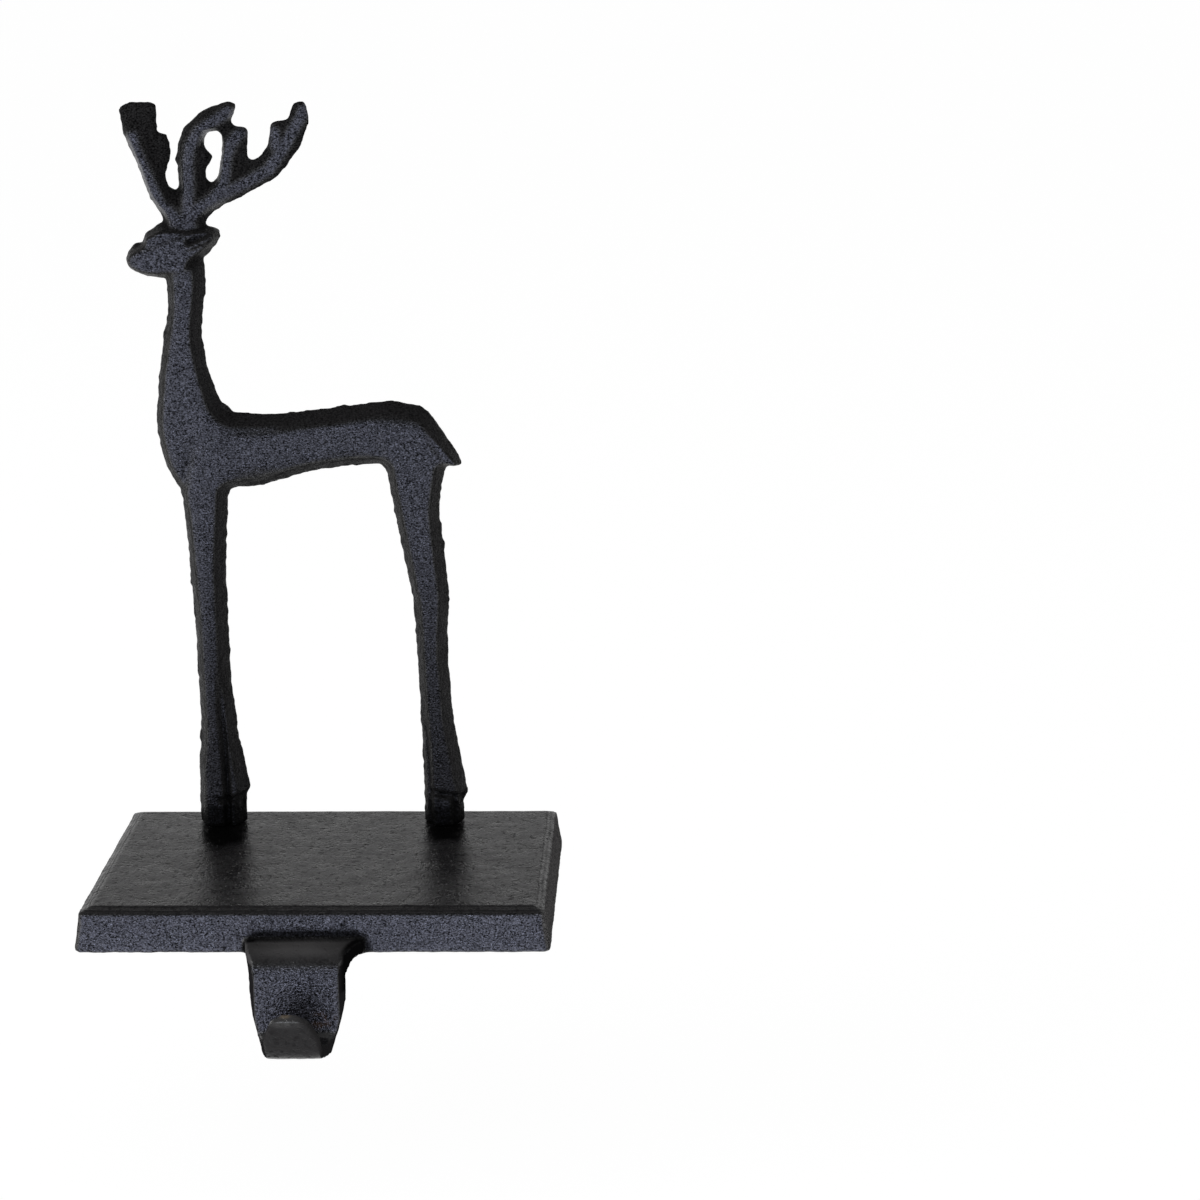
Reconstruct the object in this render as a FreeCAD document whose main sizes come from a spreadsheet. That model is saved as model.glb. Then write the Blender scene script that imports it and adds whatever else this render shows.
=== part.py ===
"""Mantel stocking holder: a cast iron plate with a hook on its front edge and a flat cast reindeer on top.

Millimetres. The origin is the centre of the plate's underside, +Z up, the hook points to -Y and the
reindeer looks to -X. The plate and its hook are one casting. The reindeer is a second casting, flat
on both sides with sloping edges from its parting plane, and two screws hold its feet from below.
"""
import FreeCAD, Part
import math
import os

from FreeCAD import Rotation, Vector
from Sketcher import Constraint

DIMENSIONS = (
    ("plate_width", 114.3, "plate along the mantel, at its underside"),
    ("plate_depth", 76.2, "plate front to back, at its underside"),
    ("plate_wall_height", 9.3, "height of the plate, less edge_bevel_height"),
    ("plate_draft", 1.4, "how far each side wall leans in over plate_wall_height"),
    ("plate_corner_radius", 1.8, "rounding of the plate's four upright corners"),
    ("edge_bevel_width", 2.8, "bevel round the top, down the side walls"),
    ("edge_bevel_height", 1.1, "bevel round the top, in over the top face"),
    ("plate_foot_bevel", 0.4, "bevel round the plate's underside"),
    ("hook_offset", -2.8, "middle of the hook, from the middle of the plate"),
    ("hook_width", 23.2, "widest part of the hook's strap"),
    ("hook_top", 4.0, "top of the strap where it leaves the plate, above the plate's underside"),
    ("hook_top_fall", 1.9, "how far the strap's top falls on its way to the bend"),
    ("hook_reach", 9.0, "front of the strap, ahead of the plate"),
    ("hook_drop", 20.8, "lowest point of the hook, under the plate's underside"),
    ("strap_thickness", 4.0, "thickness of the hanging strap"),
    ("cup_thickness", 3.4, "thickness of the hook's bottom"),
    ("hook_bend_radius", 7.2, "outer bend at the top of the strap"),
    ("cup_radius", 4.2, "inner bend at the bottom of the hook"),
    ("lip_gap", 12.5, "throat between the strap and the lip's tip"),
    ("lip_height", 14.8, "tip of the lip, above the hook's lowest point"),
    ("lip_lean", 27.0, "degrees that the lip leans forward from upright"),
    ("lip_tip_thickness", 2.4, "thickness of the lip at its tip"),
    ("cup_width", 16.6, "width of the hook's bottom"),
    ("lip_width", 13.2, "lip where it leaves the bottom"),
    ("lip_shoulder_width", 8.6, "lip where its rounded tip begins"),
    ("lip_tip_width", 2.4, "flat top of the lip's tip"),
    ("hook_root", 2.0, "how far the hook's root reaches into the plate's wall"),
    ("strap_edge_slope", 1.5, "how far the strap's sides lean in towards its front"),
    ("root_flare_left", 2.0, "spread of the strap where it leaves the plate, at its left"),
    ("root_flare_right", 5.0, "spread of the strap where it leaves the plate, at its right"),
    ("outline_unit", 1.0, "length of one unit in the offsets of the traced outlines"),
    ("figure_back_gap", 11.1, "the reindeer's middle plane, ahead of the plate's back edge"),
    ("front_leg_offset", -30.3, "middle of the front foot, from the plate's centre"),
    ("rear_leg_offset", 27.1, "middle of the rear foot, from the plate's centre"),
    ("leg_length", 88.4, "plate top to belly at the front leg"),
    ("body_depth", 19.4, "belly to back"),
    ("neck_length", 33.8, "back to the bottom of the head"),
    ("head_height", 13.6, "bottom of the head to the root of the antlers"),
    ("body_thickness", 11.4, "legs and body, front to back"),
    ("neck_thickness", 10.6, "chest and neck, front to back"),
    ("head_thickness", 12.4, "head, front to back"),
    ("antler_thickness", 7.6, "antlers, front to back"),
    ("body_edge_slope", 2.35, "width of the sloping edge round the legs and body"),
    ("neck_edge_slope", 2.3, "width of the sloping edge round the neck"),
    ("head_edge_slope", 1.8, "width of the sloping edge round the head"),
    ("antler_edge_slope", 2.3, "width of the sloping edge round the antlers"),
    ("rim_rounding", 0.5, "rounding between a sloping edge and a flat face, on all but the antlers"),
    ("groove_radius", 0.85, "half the width of the grooves that part the near legs from the far ones"),
    ("ear_hollow_length", 6.2, "hollow of the ear, along the ear"),
    ("ear_hollow_width", 1.6, "hollow of the ear, across the ear"),
    ("ear_tilt", 20.0, "degrees that the ear rises towards its tip"),
    ("screw_diameter", 4.0, "shank of a foot screw"),
    ("screw_head_diameter", 8.0, "head of a foot screw"),
    ("screw_head_height", 2.6, "height of a foot screw's head"),
    ("screw_bite", 8.0, "length of the screw inside a foot"),
    ("screw_hole_spare", 1.5, "depth of the foot's hole past the screw's end"),
    ("screw_recess", 1.2, "depth of the screw's head under the plate's underside"),
    ("thread_clearance", 0.05, "gap round the shank in the foot"),
    ("shank_clearance", 0.25, "gap round the shank in the plate"),
    ("head_clearance", 0.5, "gap round the head in the plate"),
)

LONGEST_ROUNDING = 0.47
SMALLEST_RADIUS = 0.25
FIGURE_DEPTH = "dims.plate_depth / 2 - dims.figure_back_gap"
PLATE_TOP = "dims.plate_wall_height + dims.edge_bevel_height"

doc = FreeCAD.newDocument("stocking_holder")


def make_sheet():
    """Write the driving dimensions into a sheet, one named cell each."""
    cells = doc.addObject("Spreadsheet::Sheet", "dims")
    for row, (name, value, note) in enumerate(DIMENSIONS, start=1):
        cells.set(f"A{row}", name)
        cells.set(f"B{row}", str(value))
        cells.set(f"C{row}", note)
        cells.setAlias(f"B{row}", name)
    doc.recompute()
    return cells


sheet = make_sheet()


def size(name):
    """One driving dimension, in millimetres."""
    return float(sheet.get(name))


def bind(item, **expressions):
    """Tie properties of an object to cells of the sheet; a double underscore stands for a dot."""
    for name, expression in expressions.items():
        item.setExpression(name.replace("__", "."), expression)


def shape_feature(name, shape):
    """A document object that carries a worked-out shape."""
    item = doc.addObject("Part::Feature", name)
    item.Shape = shape
    return item


def combine(kind, name, pieces):
    """A boolean of several objects: MultiFuse or MultiCommon."""
    item = doc.addObject(f"Part::{kind}", name)
    item.Shapes = pieces
    item.Refine = True
    return item


def cut(name, base, tool):
    """One object with another taken away."""
    item = doc.addObject("Part::Cut", name)
    item.Base = base
    item.Tool = tool
    item.Refine = True
    return item


# Outlines


class Anchor:
    """A point of the figure or the hook that a group of corners is measured from.

    An outline is a closed run of corners with the metal on its left. Each corner has a place across and
    up, a rounding radius, and the width of the sloping edge beside it where that differs from the rest.
    """

    def __init__(self, across, up):
        self.across = across
        self.up = up

    def at(self, across, up, radius=0.0, slope=None):
        """A corner of an outline, measured from this anchor in outline units."""
        unit = size("outline_unit")
        own_slope = None if slope is None else unit * slope
        return (self.across + unit * across, self.up + unit * up, unit * radius, own_slope)

    def point(self, across, up, depth):
        """A point in space, measured from this anchor in outline units, at a given depth."""
        place = self.at(across, up)
        return Vector(place[0], depth, place[1])


def left_normal(start, end):
    """Unit vector to the left of a run, in the plane of the outline."""
    across = end[0] - start[0]
    up = end[1] - start[1]
    length = math.hypot(across, up)
    return (-up / length, across / length)


def inset_corners(corners, share, slope):
    """The corners moved into the metal by a share of each corner's slope width, along the mitre."""
    moved = []
    count = len(corners)
    for index, (across, up, radius, own_slope) in enumerate(corners):
        before = left_normal(corners[index - 1], corners[index])
        after = left_normal(corners[index], corners[(index + 1) % count])
        step = share * (slope if own_slope is None else own_slope)
        mitre = step / (1.0 + before[0] * after[0] + before[1] * after[1])
        place = (across + mitre * (before[0] + after[0]), up + mitre * (before[1] + after[1]))
        turn = before[0] * after[1] - before[1] * after[0]
        grown = radius - step if turn > 0 else radius + step
        moved.append((place[0], place[1], max(grown, SMALLEST_RADIUS) if radius else 0.0))
    return moved


def rounded_edges(corners, depth):
    """Lines and tangent arcs through rounded corners, upright at a given depth.

    Outlines with the same corners give their edges in the same order. A rounding takes no more than
    LONGEST_ROUNDING of either side, so that a line is always left between two roundings.
    """
    count = len(corners)
    spans = []
    for index in range(count):
        here = Vector(corners[index][0], depth, corners[index][1])
        before = Vector(corners[index - 1][0], depth, corners[index - 1][1]) - here
        after = Vector(corners[(index + 1) % count][0], depth, corners[(index + 1) % count][1]) - here
        radius = corners[index][2]
        if not radius:
            spans.append((here, None, here))
            continue
        half = before.getAngle(after) / 2.0
        reach = min(radius / math.tan(half), LONGEST_ROUNDING * min(before.Length, after.Length))
        start = here + before.normalize() * reach
        end = here + after.normalize() * reach
        middle = here + (before + after).normalize() * (reach / math.cos(half) - reach * math.tan(half))
        spans.append((start, middle, end))
    edges = []
    for index, (start, middle, end) in enumerate(spans):
        if middle is not None:
            edges.append(Part.Arc(start, middle, end).toShape())
        edges.append(Part.LineSegment(end, spans[(index + 1) % count][0]).toShape())
    return edges


def relief(loops, thickness, slope, rim):
    """A flat casting: each loop slopes from the middle plane to a rim and a flat face on either side."""
    half = thickness / 2.0
    levels = [(0.0, 0.0), (1.0, half - rim)]
    if rim:
        levels.append((1.0 + rim / slope, half))
    levels = [(part, -depth) for part, depth in reversed(levels[1:])] + levels
    faces = []
    front = []
    back = []
    for corners in loops:
        rings = [rounded_edges(inset_corners(corners, part, slope), depth) for part, depth in levels]
        for lower, upper in zip(rings, rings[1:]):
            faces += [Part.makeRuledSurface(*pair) for pair in zip(lower, upper)]
        front.append(Part.Wire(rings[0]))
        back.append(Part.Wire(rings[-1]))
    faces += Part.makeFace(front, "Part::FaceMakerBullseye").Faces
    faces += Part.makeFace(back, "Part::FaceMakerBullseye").Faces
    skin = Part.makeShell(faces)
    skin.sewShape()
    solid = Part.makeSolid(skin)
    if solid.Volume < 0:
        solid.reverse()
    return solid


# Plate and hook


def edge_names(shape, wanted):
    """Names of the edges of a shape whose middle and direction pass a test."""
    names = []
    for number, edge in enumerate(shape.Edges, start=1):
        middle = edge.valueAt((edge.FirstParameter + edge.LastParameter) / 2.0)
        run = edge.Vertexes[-1].Point - edge.Vertexes[0].Point
        if wanted(middle, run):
            names.append(f"Edge{number}")
    return names


def origin_plane(body, role):
    """One of a body's own origin planes."""
    return next(item for item in body.Origin.OriginFeatures if item.Role == role)


def rectangle_sketch(body, name, plane):
    """A rectangle centred on the origin, with its width and depth as named constraints."""
    sketch = body.newObject("Sketcher::SketchObject", name)
    sketch.AttachmentSupport = [(origin_plane(body, plane), "")]
    sketch.MapMode = "FlatFace"
    points = [Vector(-1, -1, 0), Vector(1, -1, 0), Vector(1, 1, 0), Vector(-1, 1, 0)]
    sketch.addGeometry([Part.LineSegment(points[i], points[(i + 1) % 4]) for i in range(4)])
    for line in range(4):
        sketch.addConstraint(Constraint("Coincident", line, 2, (line + 1) % 4, 1))
        sketch.addConstraint(Constraint("Horizontal" if line % 2 == 0 else "Vertical", line))
    sketch.addConstraint(Constraint("Symmetric", 0, 1, 1, 2, -1, 1))
    for label, line, kind in (("width", 0, "DistanceX"), ("depth", 1, "DistanceY")):
        number = sketch.addConstraint(Constraint(kind, line, 1, line, 2, 2.0))
        sketch.renameConstraint(number, label)
    return sketch


def make_plate():
    """The plate: a rectangle with draft, rounded upright corners and a bevel round its top."""
    body = doc.addObject("PartDesign::Body", "plate")
    sketch = rectangle_sketch(body, "plate_outline", "XY_Plane")
    bind(sketch, Constraints__width="dims.plate_width", Constraints__depth="dims.plate_depth")
    pad = body.newObject("PartDesign::Pad", "plate_walls")
    pad.Profile = sketch
    bind(pad, Length="dims.plate_wall_height + dims.edge_bevel_height",
         TaperAngle="-atan(dims.plate_draft / dims.plate_wall_height)")
    doc.recompute()
    corners = body.newObject("PartDesign::Fillet", "plate_corners")
    corners.Base = (pad, edge_names(pad.Shape, lambda middle, run: abs(run.z) > 1.0))
    bind(corners, Radius="dims.plate_corner_radius")
    doc.recompute()
    top = size("plate_wall_height") + size("edge_bevel_height")
    bevel = body.newObject("PartDesign::Chamfer", "plate_bevel")
    bevel.Base = (corners, edge_names(corners.Shape, lambda middle, run: abs(middle.z - top) < 0.01))
    bevel.ChamferType = "Two distances"
    bind(bevel, Size="dims.edge_bevel_width", Size2="dims.edge_bevel_height")
    doc.recompute()
    foot = body.newObject("PartDesign::Chamfer", "plate_foot")
    foot.Base = (bevel, edge_names(bevel.Shape, lambda middle, run: abs(middle.z) < 0.01))
    bind(foot, Size="dims.plate_foot_bevel")
    doc.recompute()
    return body


def hook_places():
    """Depths and heights that the three views of the hook share."""
    wall = -size("plate_depth") / 2.0
    front = wall - size("hook_reach")
    low = -size("hook_drop")
    return {
        "root": wall + size("plate_draft") + size("hook_root"),
        "wall": wall,
        "front": front,
        "back": front + size("strap_thickness"),
        "low": low,
        "floor": low + size("cup_thickness"),
        "tip": low + size("lip_height"),
        "top": size("hook_top"),
    }


def hook_side_corners(at):
    """Side view, across = towards the back, up: strap, bend, bottom, lip and back again."""
    lean = math.tan(math.radians(size("lip_lean")))
    inner_tip = at["front"] - size("lip_gap")
    inner_foot = inner_tip + lean * (at["tip"] - at["floor"])
    outer_tip = inner_tip - size("lip_tip_thickness")
    outer_foot = inner_foot - size("cup_thickness") + lean * (at["floor"] - at["low"])
    tip_drop = lean * size("lip_tip_thickness")
    tip_radius = 0.4 * size("lip_tip_thickness")
    root_radius = size("strap_thickness")
    outer_radius = size("cup_radius") + size("cup_thickness")
    return [
        (at["root"], at["top"], 0.0),
        (at["front"], at["top"] - size("hook_top_fall"), size("hook_bend_radius")),
        (at["front"], at["floor"], size("cup_radius")),
        (inner_foot, at["floor"], size("cup_radius")),
        (inner_tip, at["tip"], tip_radius),
        (outer_tip, at["tip"] - tip_drop, tip_radius),
        (outer_foot, at["low"], outer_radius),
        (at["back"], at["low"], outer_radius),
        (at["back"], 0.0, root_radius),
        (at["root"], 0.0, 0.0),
    ]


def both_halves(half_corners, at):
    """A closed outline from one function for its halves, each with the flare of its own side."""
    middle = size("hook_offset")
    right = [(middle + corner[0], *corner[1:]) for corner in half_corners(at, size("root_flare_right"))]
    left = [(middle - corner[0], *corner[1:]) for corner in half_corners(at, size("root_flare_left"))]
    return right + left[::-1]


def hook_front_half(at, flare):
    """Half of the front view: full width at the root, a flare under it, tapering to the bottom."""
    half = size("hook_width") / 2.0
    cup = size("cup_width") / 2.0
    bottom = Anchor(cup, at["low"])
    calf = Anchor(0.45 * half + 0.55 * cup, at["low"])
    side = Anchor(half, 0.0)
    return [
        bottom.at(0.0, -1.0),
        bottom.at(0.0, 0.6, 5.0),
        calf.at(0.0, 5.0, 14.0),
        side.at(0.0, -8.4, 30.0),
        side.at(0.0, -4.2, 2.6),
        Anchor(half + flare, 0.0).at(0.0, -0.2, 0.6),
        Anchor(half + 0.8 * flare, at["top"]).at(0.0, 1.0),
    ]


def hook_lip_half(at, flare):
    """Half of the lip's front view: a wedge with bulging sides and a rounded tip, clear of any flare."""
    foot = Anchor(size("cup_width") / 2.0, at["low"])
    shoulder = size("lip_shoulder_width") / 2.0
    tip = Anchor(size("lip_tip_width") / 2.0, at["tip"])
    return [
        foot.at(0.0, -1.0),
        foot.at(0.0, 1.4, 3.0),
        Anchor(0.45 * foot.across + 0.55 * shoulder, at["tip"]).at(0.0, -6.2, 9.0),
        Anchor(shoulder, at["tip"]).at(0.0, -1.9, 2.4),
        tip.at(0.0, 0.1, 1.8),
        tip.at(-0.8, 0.3),
    ]


def hook_plan_half(at, flare):
    """Half of the view from above: flared root, strap with leaning sides, narrowing bottom and lip."""
    half = size("hook_width") / 2.0
    strap = half - size("strap_edge_slope")
    lip = size("lip_width") / 2.0
    end = at["front"] - size("lip_gap") - size("cup_thickness")
    root = Anchor(half + flare, at["root"])
    return [
        Anchor(lip, end).at(-0.4, -6.0),
        Anchor(lip, at["front"]).at(0.0, -6.5, 8.0),
        Anchor(0.5 * (lip + strap), at["front"]).at(0.0, -2.0, 3.0),
        Anchor(strap, at["front"]).at(0.0, 0.0, 1.0),
        Anchor(half, at["back"]).at(0.0, -0.4, 2.0),
        Anchor(half + flare, at["wall"] + size("plate_draft")).at(0.0, 0.0, 0.8),
        root.at(0.0, 1.0),
    ]


def upright_prism(name, corners, depth, run):
    """A front or side view, drawn at a given depth, carried straight back."""
    face = Part.Face(Part.Wire(rounded_edges(corners, depth)))
    return shape_feature(name, face.extrude(Vector(0, run, 0)))


def make_hook():
    """The hook: the space that its side view, its front views and its plan have in common."""
    at = hook_places()
    width = size("hook_width") + 2.0 * (size("root_flare_left") + size("root_flare_right"))
    side = upright_prism("hook_side_view", hook_side_corners(at), 0.0, width)
    side.Placement = FreeCAD.Placement(
        Vector(size("hook_offset") + width / 2.0, 0, 0), Rotation(Vector(0, 0, 1), 90))
    split = at["front"] - 0.85 * size("cup_radius")
    end = split - size("lip_gap") - 2.0 * size("cup_thickness")
    strap = upright_prism("hook_front_view", both_halves(hook_front_half, at), split, at["root"] - split)
    lip = upright_prism("hook_lip_view", both_halves(hook_lip_half, at), end, split - end)
    above = 1.5 * size("hook_top")
    plan = upright_prism("hook_plan", both_halves(hook_plan_half, at), 0.0, above + 1.5 * size("hook_drop"))
    plan.Placement = FreeCAD.Placement(Vector(0, 0, above), Rotation(Vector(1, 0, 0), -90))
    fronts = combine("MultiFuse", "hook_front_views", [strap, lip])
    return combine("MultiCommon", "hook", [side, fronts, plan])


def make_screw_hole(name, offset):
    """Clearance hole and counterbore for one foot screw, through the plate."""
    shank = doc.addObject("Part::Cylinder", f"{name}_shank_hole")
    bind(shank, Radius="dims.screw_diameter / 2 + dims.shank_clearance", Height=f"{PLATE_TOP} + 2")
    shank.Placement = FreeCAD.Placement(Vector(0, 0, -1), Rotation())
    head = doc.addObject("Part::Cylinder", f"{name}_head_hole")
    bind(head, Radius="dims.screw_head_diameter / 2 + dims.head_clearance",
         Height="dims.screw_recess + dims.screw_head_height + 1")
    head.Placement = FreeCAD.Placement(Vector(0, 0, -1), Rotation())
    for hole in (shank, head):
        bind(hole, Placement__Base__x=f"dims.{offset}", Placement__Base__y=FIGURE_DEPTH)
    return [shank, head]


def make_hook_base():
    """The lower casting, ready for the foot screws."""
    casting = combine("MultiFuse", "plate_and_hook", [make_plate(), make_hook()])
    holes = make_screw_hole("front", "front_leg_offset") + make_screw_hole("rear", "rear_leg_offset")
    item = cut("hook_base", casting, combine("MultiFuse", "plate_holes", holes))
    item.Label = "hook_base"
    return item


# Reindeer


class ReindeerAnchors:
    """Anchors of the reindeer, stacked from the plate's top to the root of the antlers."""

    def __init__(self):
        top = size("plate_wall_height") + size("edge_bevel_height")
        belly = top + size("leg_length")
        back = belly + size("body_depth")
        head = back + size("neck_length")
        antlers = head + size("head_height")
        front = size("front_leg_offset")
        rear = size("rear_leg_offset")
        self.top = top
        self.front_foot = Anchor(front, top)
        self.rear_foot = Anchor(rear, top)
        self.elbow = Anchor(front, belly)
        self.haunch = Anchor(rear, belly)
        self.withers = Anchor(front, back)
        self.rump = Anchor(rear, back)
        self.head = Anchor(front, head)
        self.antlers = Anchor(front, antlers)


def body_corners(pose):
    """Legs and trunk: front leg up, shoulder, back, tail, rear leg, belly and front leg down."""
    foot, elbow, withers = pose.front_foot, pose.elbow, pose.withers
    hoof, haunch, rump = pose.rear_foot, pose.haunch, pose.rump
    return [
        foot.at(6.2, -6.0),
        foot.at(6.0, 6.9, 0.6),
        foot.at(7.4, 9.5, 0.9),
        foot.at(4.7, 23.6, 30.0),
        foot.at(3.5, 39.6, 60.0),
        elbow.at(3.6, -18.8, 60.0),
        elbow.at(5.2, 0.1, 1.5),
        elbow.at(13.3, 0.6, 10.0, 3.0),
        haunch.at(-31.0, 4.5, 40.0, 3.0),
        haunch.at(-19.0, 5.9, 30.0, 3.0),
        haunch.at(-12.7, 6.0, 2.4, 2.6),
        haunch.at(-11.9, 0.7, 6.0),
        haunch.at(-6.6, -29.8, 25.0),
        hoof.at(-5.2, 15.6, 40.0),
        hoof.at(-5.4, -6.0),
        hoof.at(5.5, -6.0),
        hoof.at(5.1, 5.6, 0.6),
        hoof.at(6.3, 7.9, 0.8),
        hoof.at(3.0, 27.6, 50.0),
        hoof.at(1.9, 47.6, 40.0),
        haunch.at(2.8, -27.3, 10.0),
        haunch.at(0.7, -5.3, 16.0),
        haunch.at(2.5, 5.3, 1.0),
        haunch.at(7.4, 5.6, 1.0, 1.0),
        rump.at(-1.7, 1.4, 8.0, 3.0),
        rump.at(-10.6, 3.1, 16.0, 3.4),
        withers.at(17.3, -0.3, 40.0, 3.8),
        withers.at(6.3, -0.8, 3.0, 4.0),
        withers.at(-2.5, -4.2, 4.0, 3.0),
        withers.at(-6.2, -11.4, 8.0),
        elbow.at(-7.1, -0.4, 10.0),
        elbow.at(-6.4, -7.0, 20.0),
        elbow.at(-5.2, -32.8, 60.0),
        foot.at(-5.0, 25.6, 40.0),
        foot.at(-6.0, 15.6, 20.0),
        foot.at(-6.3, -6.0),
    ]


def neck_corners(pose):
    """Chest and neck, from inside the shoulder up into the head."""
    elbow, withers, head = pose.elbow, pose.withers, pose.head
    return [
        elbow.at(-5.6, -3.0),
        withers.at(20.3, -5.7),
        withers.at(20.3, -0.6),
        withers.at(4.9, 0.6, 5.5, 3.4),
        withers.at(1.7, 10.3, 20.0),
        withers.at(0.0, 19.0, 30.0),
        head.at(1.9, 0.0, 20.0),
        head.at(1.7, 5.0),
        head.at(-8.0, 5.0),
        head.at(-8.0, -7.4, 25.0),
        withers.at(-11.0, 11.3, 60.0),
        withers.at(-12.6, -3.2, 14.0),
        withers.at(-10.7, -13.0, 8.0),
    ]


def head_corners(pose):
    """Head in profile: jaw, throat, ear, brow and muzzle."""
    head, crown = pose.head, pose.antlers
    return [
        head.at(-13.7, 0.8, 3.0),
        head.at(-9.2, 0.1, 3.0),
        head.at(-1.2, 0.7, 1.5),
        head.at(0.0, 4.0, 2.0),
        head.at(2.6, 5.9, 2.0),
        head.at(4.8, 8.4, 2.0, 1.3),
        crown.at(6.3, -2.7, 0.9, 1.0),
        crown.at(4.9, -1.0, 0.9, 1.0),
        crown.at(1.8, -0.1, 2.0),
        crown.at(-8.6, 0.3, 1.5),
        crown.at(-10.3, -0.7, 1.5),
        head.at(-12.9, 11.2, 0.8, 1.5),
        head.at(-13.1, 9.4, 1.2, 1.5),
        head.at(-16.8, 7.5, 2.6, 1.6),
        head.at(-18.0, 5.0, 2.0, 1.6),
        head.at(-17.2, 2.6, 2.0, 1.6),
    ]


def antler_corners(pose):
    """Outline of both antlers from the right of their root, round every tine, back to its left."""
    root = pose.antlers
    return [
        root.at(2.7, -5.6),
        root.at(2.7, 0.4, 1.5),
        root.at(4.7, 2.8, 2.0),
        root.at(20.7, 10.9, 6.0),
        root.at(26.9, 18.6, 7.0),
        root.at(29.2, 26.0, 6.0, 2.0),
        root.at(28.0, 29.9, 1.6, 1.2),
        root.at(25.0, 29.2, 1.6, 1.2),
        root.at(23.8, 25.4, 1.4, 1.6),
        root.at(19.4, 24.4, 1.2, 1.5),
        root.at(18.6, 19.3, 2.0, 1.7),
        root.at(16.7, 16.4, 3.0, 2.0),
        root.at(13.6, 15.0, 1.0, 2.4),
        root.at(13.9, 23.6, 0.9, 1.2),
        root.at(11.4, 23.3, 1.0, 1.0),
        root.at(9.5, 24.6, 1.0, 0.7),
        root.at(11.7, 28.8, 0.7, 0.9),
        root.at(9.5, 29.7, 1.2, 1.0),
        root.at(2.9, 27.8, 7.0, 1.6),
        root.at(-2.3, 23.0, 6.0, 1.8),
        root.at(-4.0, 17.4, 8.0, 1.6),
        root.at(-3.8, 8.0, 0.9, 2.3),
        root.at(-6.2, 8.8, 1.3, 2.2),
        root.at(-6.8, 12.4, 5.0, 1.8),
        root.at(-5.2, 17.8, 1.2, 1.3),
        root.at(-5.8, 21.8, 0.9, 1.2),
        root.at(-8.3, 22.3, 0.8, 1.6),
        root.at(-8.1, 29.3, 1.0, 1.6),
        root.at(-14.2, 29.9, 2.4, 1.8),
        root.at(-17.4, 28.2, 2.4, 1.9),
        root.at(-17.0, 22.4, 6.0, 1.9),
        root.at(-13.3, 13.4, 12.0, 1.7),
        root.at(-11.1, 6.1, 6.0, 1.9),
        root.at(-8.1, 1.6, 2.0),
        root.at(-8.1, -5.6),
    ]


def antler_window(pose):
    """The closed gap between the middle beam and its inner branch, clockwise, with its small nub."""
    root = pose.antlers
    return [
        root.at(2.9, 19.0, 1.0, 1.6),
        root.at(3.4, 21.8, 1.8, 1.3),
        root.at(7.1, 22.7, 1.6, 1.0),
        root.at(7.6, 19.4, 3.0, 1.2),
        root.at(5.7, 10.2, 1.2, 1.5),
        root.at(3.5, 10.0, 1.3, 2.0),
        root.at(3.2, 12.8, 1.2, 1.7),
        root.at(5.4, 16.2, 0.7, 1.1),
    ]


def make_leg_grooves(pose):
    """Grooves on both faces of the lower legs that part the near leg from the far one, and the hoofs.

    Each groove is a round bar from one place to another, sunk into the face by a share of its radius
    at either end, so that a long one fades out upwards.
    """
    lines = (
        (pose.front_foot, (0.8, 38.4), (1.8, -1.0), 0.1, 1.3),
        (pose.front_foot, (0.6, 7.2), (8.0, 9.0), 0.5, 1.0),
        (pose.rear_foot, (-3.9, 27.0), (-3.1, -1.0), 0.1, 1.2),
        (pose.rear_foot, (-0.6, 8.4), (7.4, 6.9), 0.5, 1.0),
    )
    radius = size("groove_radius")
    cutters = []
    for side in (-1.0, 1.0):
        face = size("body_thickness") / 2.0 + radius
        for foot, start, end, start_share, end_share in lines:
            near = foot.point(*start, side * (face - start_share * radius))
            far = foot.point(*end, side * (face - end_share * radius))
            run = far - near
            cutters.append(shape_feature("groove", Part.makeCylinder(radius, run.Length, near, run)))
    return cutters


def make_ear_hollows(pose):
    """The hollow of the ear on each face of the head: an almond, made of two cones base to base."""
    tilt = math.radians(size("ear_tilt"))
    along = Vector(math.cos(tilt), 0.0, math.sin(tilt))
    reach = size("ear_hollow_length") / 2.0
    widest = size("ear_hollow_width") / 2.0
    hollows = []
    for side in (-1.0, 1.0):
        centre = pose.head.point(1.0, 8.9, side * size("head_thickness") / 2.0)
        for end in (-1.0, 1.0):
            half = Part.makeCone(widest, 0.0, reach, centre, along * end)
            hollows.append(shape_feature("ear_hollow", half))
    return hollows


def make_foot_hole(name, foot):
    """Blind hole that a foot screw bites into."""
    hole = doc.addObject("Part::Cylinder", f"{name}_foot_hole")
    bind(hole, Radius="dims.screw_diameter / 2 + dims.thread_clearance",
         Height="dims.screw_bite + dims.screw_hole_spare")
    hole.Placement = FreeCAD.Placement(Vector(foot.across, 0, foot.up), Rotation())
    return hole


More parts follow.
